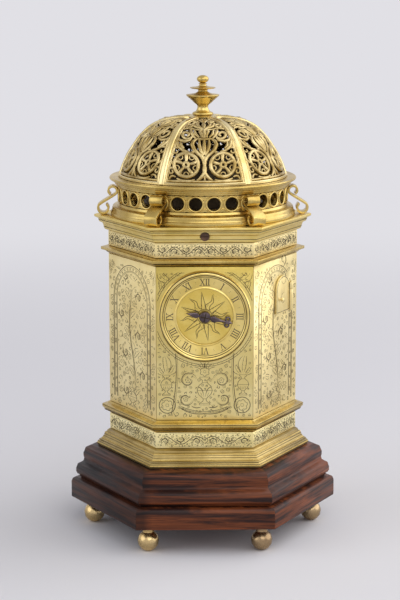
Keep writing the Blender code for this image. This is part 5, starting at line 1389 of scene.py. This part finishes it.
def openworkStrokes():
    # one panel of the dome, drawn flat: x across, y along the curve from the foot, millimetres
    half = [
        *roundel(8.5, 8.3, 5.7),
        # stem between the roundels, branching at the foot
        swelling(bend((0.3, 9.6), (3.6, 1.0), -0.22), 0.5, 1.0, 0.6),
        swelling(bend((0.4, 8.6), (3.4, 14.4), 0.16, 7), 0.5, 0.95, 0.6),
        # leaves that fill the cup and the corners beside it
        swelling([(9.4, 16.4), (10.8, 18.0), (11.0, 20.0)], 0.4, 0.75),
        swelling([(2.2, 22.6), (4.0, 24.6), (4.4, 27.4)], 0.45, 0.8),
        swelling([(0.9, 28.8), (4.0, 30.4), (4.9, 33.0)], 0.45, 0.85),
        # cup over the stem
        swelling([(0.4, 12.2), (2.4, 13.4), (4.5, 15.6), (5.6, 18.4), (5.0, 20.4), (3.6, 21.6)], 0.6, 1.05, 0.6),
        swelling([(0.3, 13.0), (1.6, 15.4), (2.3, 18.2), (2.2, 21.2)], 0.5, 0.95),
        tapered([(0, 21.6), (2.0, 21.7), (3.9, 21.9)], 0.66, 1, 0.8),
        tapered([(0.9, 22.2), (1.1, 24.2), (1.9, 26.0), (1.5, 27.4)], 0.80, 1, 0.9),
        tapered([(0, 27.6), (2.0, 27.7), (4.2, 28.2)], 0.62, 1, 0.6),
        # arms with a curl inside, thrown out to the rib
        swelling(curl(8.2, 24.2, 2.9, 3.5, 1.15, 1, 16, 0.34)[::-1], 0.55, 0.75, 0.6),
        swelling([(5.4, 23.4), (6.6, 21.0), (9.2, 20.2), (11.6, 20.9), (12.7, 22.6)], 0.5, 0.85),
        swelling([(12.2, 23.4), (12.9, 20.2), (12.0, 17.2), (9.6, 15.2), (7.2, 14.6)], 0.55, 0.9),
        swelling(curl(13.4, 15.0, 2.0, 2.2, 0.9, -1, 10, 0.4), 0.4, 0.66, 0.3),
        # leaves up to the crest
        swelling(bend((3.8, 22.0), (6.0, 28.8), -0.12, 6), 0.45, 0.8),
        swelling(curl(6.3, 31.2, 2.1, -1.7, 1.1, 1, 14, 0.34), 0.45, 0.66, 0.2),
        swelling(bend((4.2, 28.0), (9.6, 27.8), 0.2, 6), 0.4, 0.7),
        swelling([(0.3, 28.2), (2.2, 30.2), (3.1, 33.0), (2.2, 35.6)], 0.5, 0.9),
        swelling(curl(3.4, 36.6, 1.5, -2.2, 1.0, 1, 10, 0.4), 0.4, 0.6, 0.2),
        swelling([(0.2, 35.0), (1.2, 37.6), (0.8, 40.4), (0.2, 42.2)], 0.45, 0.75, 0.4),
        tapered([(0.9, 39.0), (2.4, 40.4), (3.3, 41.4)], 0.42, 1, 0.6),
        # corner curls at the foot
        swelling(curl(15.6, 5.0, 2.0, 2.6, 1.1, -1, 14, 0.34), 0.4, 0.66, 0.25),
        swelling(bend((14.2, 8.2), (16.0, 12.6), -0.2, 6), 0.45, 0.75),
        swelling(bend((4.6, 1.4), (13.0, 1.8), -0.10), 0.4, 0.62),
        swelling(bend((13.4, 2.4), (16.6, 1.2), 0.3, 5), 0.4, 0.62),
    ]
    # upright and stem on the middle line
    middle = [swelling([(0, y) for y in heights], thin, thick, peak) for heights, thin, thick, peak in (
        ((1.0, 3.4, 6.0), 0.4, 0.72, 0.35),
        ((7.4, 9.6, 12.4), 0.7, 1.15, 0.5),
        ((13.4, 16.6, 21.0), 0.6, 1.1, 0.5),
        ((22.0, 24.6, 28.0), 0.8, 1.05, 0.5),
        ((29.0, 31.6, 34.6), 0.5, 1.15, 0.5),
    )]
    return mirrored(half) + knops() + middle + [even([(0, 36.4), (0, 38.6)], 0.55)]


def panelHalfWidth(y):
    along = (y + domeLook["openworkFoot"]) * mm
    return domeAt(along, 0).x / mm * math.pi / case["sides"] - ribWidth(along) / mm / 2 - 0.1


def openworkEdges():
    # the frame of the openwork: a strip along each rib and along the foot
    strokes = []
    steps = 26
    for way in (1, -1):
        heights = [domeLook["openworkTop"] * k / steps for k in range(steps + 1)]
        strokes.append(even([(way * (panelHalfWidth(y) - 0.15), y) for y in heights], 0.5))
    wide = panelHalfWidth(0)
    strokes.append(even([(-wide + wide * 2 * k / 20, 0.5) for k in range(21)], 0.6))
    return strokes


def ontoDome(strokes, turn):
    laid = []
    for line, sizes in strokes:
        points = []
        for x, y in line:
            along = (y + domeLook["openworkFoot"]) * mm
            out = domeAt(along, 0).x / mm
            limit = panelHalfWidth(y) + 0.1
            x = max(-limit, min(limit, x))
            point = domeAt(along, domeLook["strandDepth"] * mm)
            points.append(around(point.x, x / out - math.pi / 2 + turn, point.y))
        laid.append((points, [size * mm for size in sizes]))
    return laid


def buildOpenwork():
    strokes = openworkStrokes() + openworkEdges()
    for k, weight in enumerate(domeLook["weights"]):
        name = f"openwork{k + 1}"
        mesh = tubes(name, ontoDome(strokes, tau * k / case["sides"]), "pierced", weight, 10)
        addPiece(name, mesh, "pierced", "case", (f"dome_panel_{k + 1}",))


def paintInsideShade(finish):
    # painted shade: the faces turned in towards the bell are darkened nearly to black, standing for the shade inside
    # the dome
    look = {"tarnish": (0.045, 0.03, 0.018, 1), "centre": (0, 0, domeLook["low"]), "from": 0.05, "to": -0.35}
    tree, shader, gilding = colouring(finish)
    place = addNode(tree, "ShaderNodeTexCoord").outputs
    away = addNode(tree, "ShaderNodeVectorMath", {0: place["Object"], 1: look["centre"]}, operation="SUBTRACT")
    outwards = addNode(tree, "ShaderNodeVectorMath", {0: away.outputs["Vector"]}, operation="NORMALIZE")
    facing = addNode(tree, "ShaderNodeVectorMath", {0: outwards.outputs["Vector"], 1: place["Normal"]},
                     operation="DOT_PRODUCT")
    inner = spread(tree, facing.outputs["Value"], look["to"], look["from"], 1.0, 0.0)
    setInputs(tree, shader, {"Base Color": mixColour(tree, inner, gilding, look["tarnish"])})


buildRibs()
buildOpenwork()
# painted shade inside the dome openwork
paintInsideShade("pierced")
print("dome built")


# Gallery: a drum of round lights, each in a raised ring

drumLook = {
    "lights": 30,
    "wall": 0.0016,
    "holeRadius": 2.95,
    "ringRadius": 3.42,
    "ringThick": 0.48,
    "ringSteps": 28,
    "steps": 32,
    "bowHalf": 1.7,
    "bowInset": 0.35,
    "bowRise": 1.25,
    "bowThick": 0.34,
}


def buildDrum():
    low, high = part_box("gallery_drum")[0].z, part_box("gallery_drum")[1].z
    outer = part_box("gallery_drum")[1].y
    cell = tau / drumLook["lights"]
    middle, tall = (low + high) / 2, (high - low) / 2
    halfWide = outer * cell / 2
    steps = drumLook["steps"]
    turns = [tau * (step + 0.5) / steps for step in range(steps)]
    vertices, faces = [], []
    for k in range(drumLook["lights"]):
        for radius in (outer, outer - drumLook["wall"]):
            for turn in turns:
                c, s = math.cos(turn), math.sin(turn)
                reach = 1 / max(abs(c) / halfWide, abs(s) / tall)
                for size in (drumLook["holeRadius"] * mm, reach):
                    vertices.append(around(radius, cell * k + size * c / outer, middle + size * s))
        base = k * steps * 4
        for step, turn in enumerate(turns):
            a, b = base + step * 2, base + (step + 1) % steps * 2
            c, d = a + steps * 2, b + steps * 2
            faces += [(a, a + 1, b + 1, b), (d, d + 1, c + 1, c), (a, b, d, c)]
            if any(abs(math.sin(t)) / tall > abs(math.cos(t)) / halfWide for t in (turn, turn + tau / steps)):
                faces.append((a + 1, c + 1, d + 1, b + 1))
    mesh = reworked(newMesh("drum", vertices, faces), lambda work: weld(work, 0.00001), faceOutwards)
    addPiece("galleryDrumPierced", softened(mesh, 0, 30), "gilt", "case", ("gallery_drum",))

    strokes = []
    ringSteps, ringRadius = drumLook["ringSteps"], drumLook["ringRadius"] * mm
    for k in range(drumLook["lights"]):
        line = []
        for step in range(ringSteps + 1):
            turn = tau * step / ringSteps
            line.append(around(outer + 0.00002, cell * k + ringRadius * math.cos(turn) / outer,
                               middle + ringRadius * math.sin(turn) * 0.985))
        strokes.append((line, [drumLook["ringThick"] * mm] * len(line)))
        for way in (1, -1):
            bow = []
            for step in range(7):
                share = step / 6 * 2 - 1
                up = way * (tall - drumLook["bowInset"] * mm - drumLook["bowRise"] * mm * (1 - share * share))
                bow.append(around(outer, cell * (k + 0.5) + share * drumLook["bowHalf"] * mm / outer, middle + up))
            strokes.append((bow, [drumLook["bowThick"] * mm] * len(bow)))
    addLines("galleryRings", strokes, "gilt", sides=8)


buildDrum()


def capOutline(node, facing):
    # the loop of points round a flat end of a node, the end that looks along facing
    mesh = mergedCopy(node)
    mesh.update()
    inEnd = [p for p in mesh.polygons if p.normal.dot(facing) > 0.99]
    far = max(p.center.dot(facing) for p in inEnd)
    edges = {}
    for polygon in inEnd:
        if polygon.center.dot(facing) < far - 0.00005:
            continue
        corners = list(polygon.vertices)
        for a, b in zip(corners, corners[1:] + corners[:1]):
            if (b, a) in edges:
                del edges[(b, a)]
            else:
                edges[(a, b)] = True
    follow = {a: b for a, b in edges}
    start = next(iter(follow))
    loop, here = [start], follow[start]
    while here != start:
        loop.append(here)
        here = follow[here]
    points = [mesh.vertices[v].co.copy() for v in loop]
    bpy.data.meshes.remove(mesh)
    return points


def smoothOutline(flat):
    # both long sides of a strip made smooth, its two short ends kept, and how many points the first has
    count = len(flat)
    lengths = [(flat[(i + 1) % count] - flat[i]).length for i in range(count)]
    ends = sorted(range(count), key=lambda i: abs(lengths[i] - 0.001))[:2]
    first = min(ends) + 1
    flat = flat[first:] + flat[:first]
    other = (max(ends) + 1 - first) % count
    left = throughPoints(flat[:other], 5)
    return left + throughPoints(flat[other:], 5), len(left)


def buildBrackets():
    # strips bent to an S, smoothed between the frame's own corners
    for k in range(case["sides"]):
        node = f"scroll_bracket_{k + 1}"
        turn = tau * k / case["sides"]
        side = Vector((-math.sin(turn), math.cos(turn), 0))
        out = Vector((math.cos(turn), math.sin(turn), 0))
        points = capOutline(node, side)
        half = max(p.dot(side) for p in points)
        outline, span = smoothOutline([Vector((p.dot(out), p.z)) for p in points])
        total = len(outline)
        vertices = [out * p.x + side * s * half + Vector((0, 0, p.y)) for s in (1, -1) for p in outline]
        faces = [(i, (i + 1) % total, (i + 1) % total + total, i + total) for i in range(total)]
        for i in range(span - 1):
            a, b, c, d = i, i + 1, total - 2 - i, total - 1 - i
            faces += [(a, b, c, d), (d + total, c + total, b + total, a + total)]
        mesh = reworked(newMesh("bracket", vertices, faces), faceOutwards)
        addPiece(f"scrollBracket{k + 1}", softened(mesh, 0.00012, 40), "gilt", "case", (node,))


buildBrackets()
print("gallery built")


# Room, lamps and camera

room = {
    "seen": (0.752, 0.745, 0.785, 1),  # what the camera and the gilding see of the room
    "floor": (0.75, 0.745, 0.785, 1),
    "light": 0.46,
    "radius": 6.0,
    "fadeFrom": 0.30,  # the floor's own shading fades into the room between these distances
    "fadeTo": 0.95,
}
lamps = (
    # name, place, size, power, colour
    ("keyLamp", (1.30, 0.10, 1.00), 2.6, 23.0, (1.0, 0.99, 0.97)),
    ("frontLamp", (0.40, -1.5, 1.30), 1.8, 12.0, (1.0, 0.99, 0.97)),
    ("fillLamp", (-1.5, -0.5, 0.9), 1.8, 8.0, (0.96, 0.98, 1.0)),
)
photo = {
    "target": (0.0, 0.0, 0.10766),
    "distance": 0.907,
    "elevation": math.radians(11.01),
    "azimuth": math.radians(-1.32),
    "focalPixels": 1931.6,
    "width": 400,
    "height": 600,
    "axisOffsetPixels": 2.79,
}


def seenDirectly(tree):
    # 1 for rays from the camera and for reflections, 0 for light that falls on things
    path = tree.nodes.new("ShaderNodeLightPath").outputs
    total = calculated(tree, "MAXIMUM", path["Is Camera Ray"], path["Is Glossy Ray"])
    return calculated(tree, "MAXIMUM", total, path["Is Transmission Ray"])


def buildFloor():
    size = room["radius"]
    mesh = newMesh("floorSweep", [(-size, -size, 0), (size, -size, 0), (size, size, 0), (-size, size, 0)],
                   [(0, 1, 2, 3)])
    floor = bpy.data.objects.new("floorSweep", mesh)
    collection.objects.link(floor)
    material, tree, shader = finishMaterial("paleFloor")
    away = addNode(tree, "ShaderNodeVectorMath", {0: objectPlace(tree)}, operation="LENGTH")
    fade = addNode(tree, "ShaderNodeMapRange", {
        "Value": away.outputs["Value"], "From Min": room["fadeFrom"], "From Max": room["fadeTo"],
    }, interpolation_type="SMOOTHSTEP")
    factor = calculated(tree, "MULTIPLY", fade.outputs["Result"], seenDirectly(tree))
    far = addNode(tree, "ShaderNodeEmission", {"Color": room["seen"]})
    both = addNode(tree, "ShaderNodeMixShader", {
        0: factor, 1: shader.outputs["BSDF"], 2: far.outputs["Emission"]})
    setInputs(tree, shader, {"Base Color": room["floor"], "Roughness": 0.9})
    setInputs(tree, tree.nodes["Material Output"], {"Surface": both.outputs["Shader"]})
    mesh.materials.append(material)


def buildRoom():
    buildFloor()
    world = bpy.data.worlds.new("paleRoom")
    bpy.context.scene.world = world
    world.use_nodes = True
    tree = world.node_tree
    strength = spread(tree, seenDirectly(tree), 0.0, 1.0, room["light"], 1.0)
    setInputs(tree, tree.nodes["Background"], {"Color": room["seen"], "Strength": strength})


def buildLamps():
    for name, place, size, power, colour in lamps:
        data = bpy.data.lights.new(name, "AREA")
        data.shape = "DISK"
        data.size = size
        data.energy = power
        data.color = colour
        lamp = bpy.data.objects.new(name, data)
        lamp.location = place
        aim = Vector(photo["target"]) - Vector(place)
        lamp.rotation_euler = aim.to_track_quat("-Z", "Y").to_euler()
        collection.objects.link(lamp)


def buildCamera():
    data = bpy.data.cameras.new("photoCamera")
    camera = bpy.data.objects.new("photoCamera", data)
    away, up, turn = photo["distance"], photo["elevation"], photo["azimuth"]
    offset = Vector((away * math.sin(turn) * math.cos(up), -away * math.cos(turn) * math.cos(up), away * math.sin(up)))
    camera.location = Vector(photo["target"]) + offset
    camera.rotation_euler = (-offset).to_track_quat("-Z", "Y").to_euler()
    data.sensor_width = 36.0
    data.lens = photo["focalPixels"] * data.sensor_width / photo["height"]
    data.shift_x = -photo["axisOffsetPixels"] / photo["height"]
    data.clip_start = 0.01
    collection.objects.link(camera)
    bpy.context.scene.camera = camera


buildRoom()
buildLamps()
buildCamera()
bpy.context.scene.view_settings.view_transform = "Standard"
print("room ready")
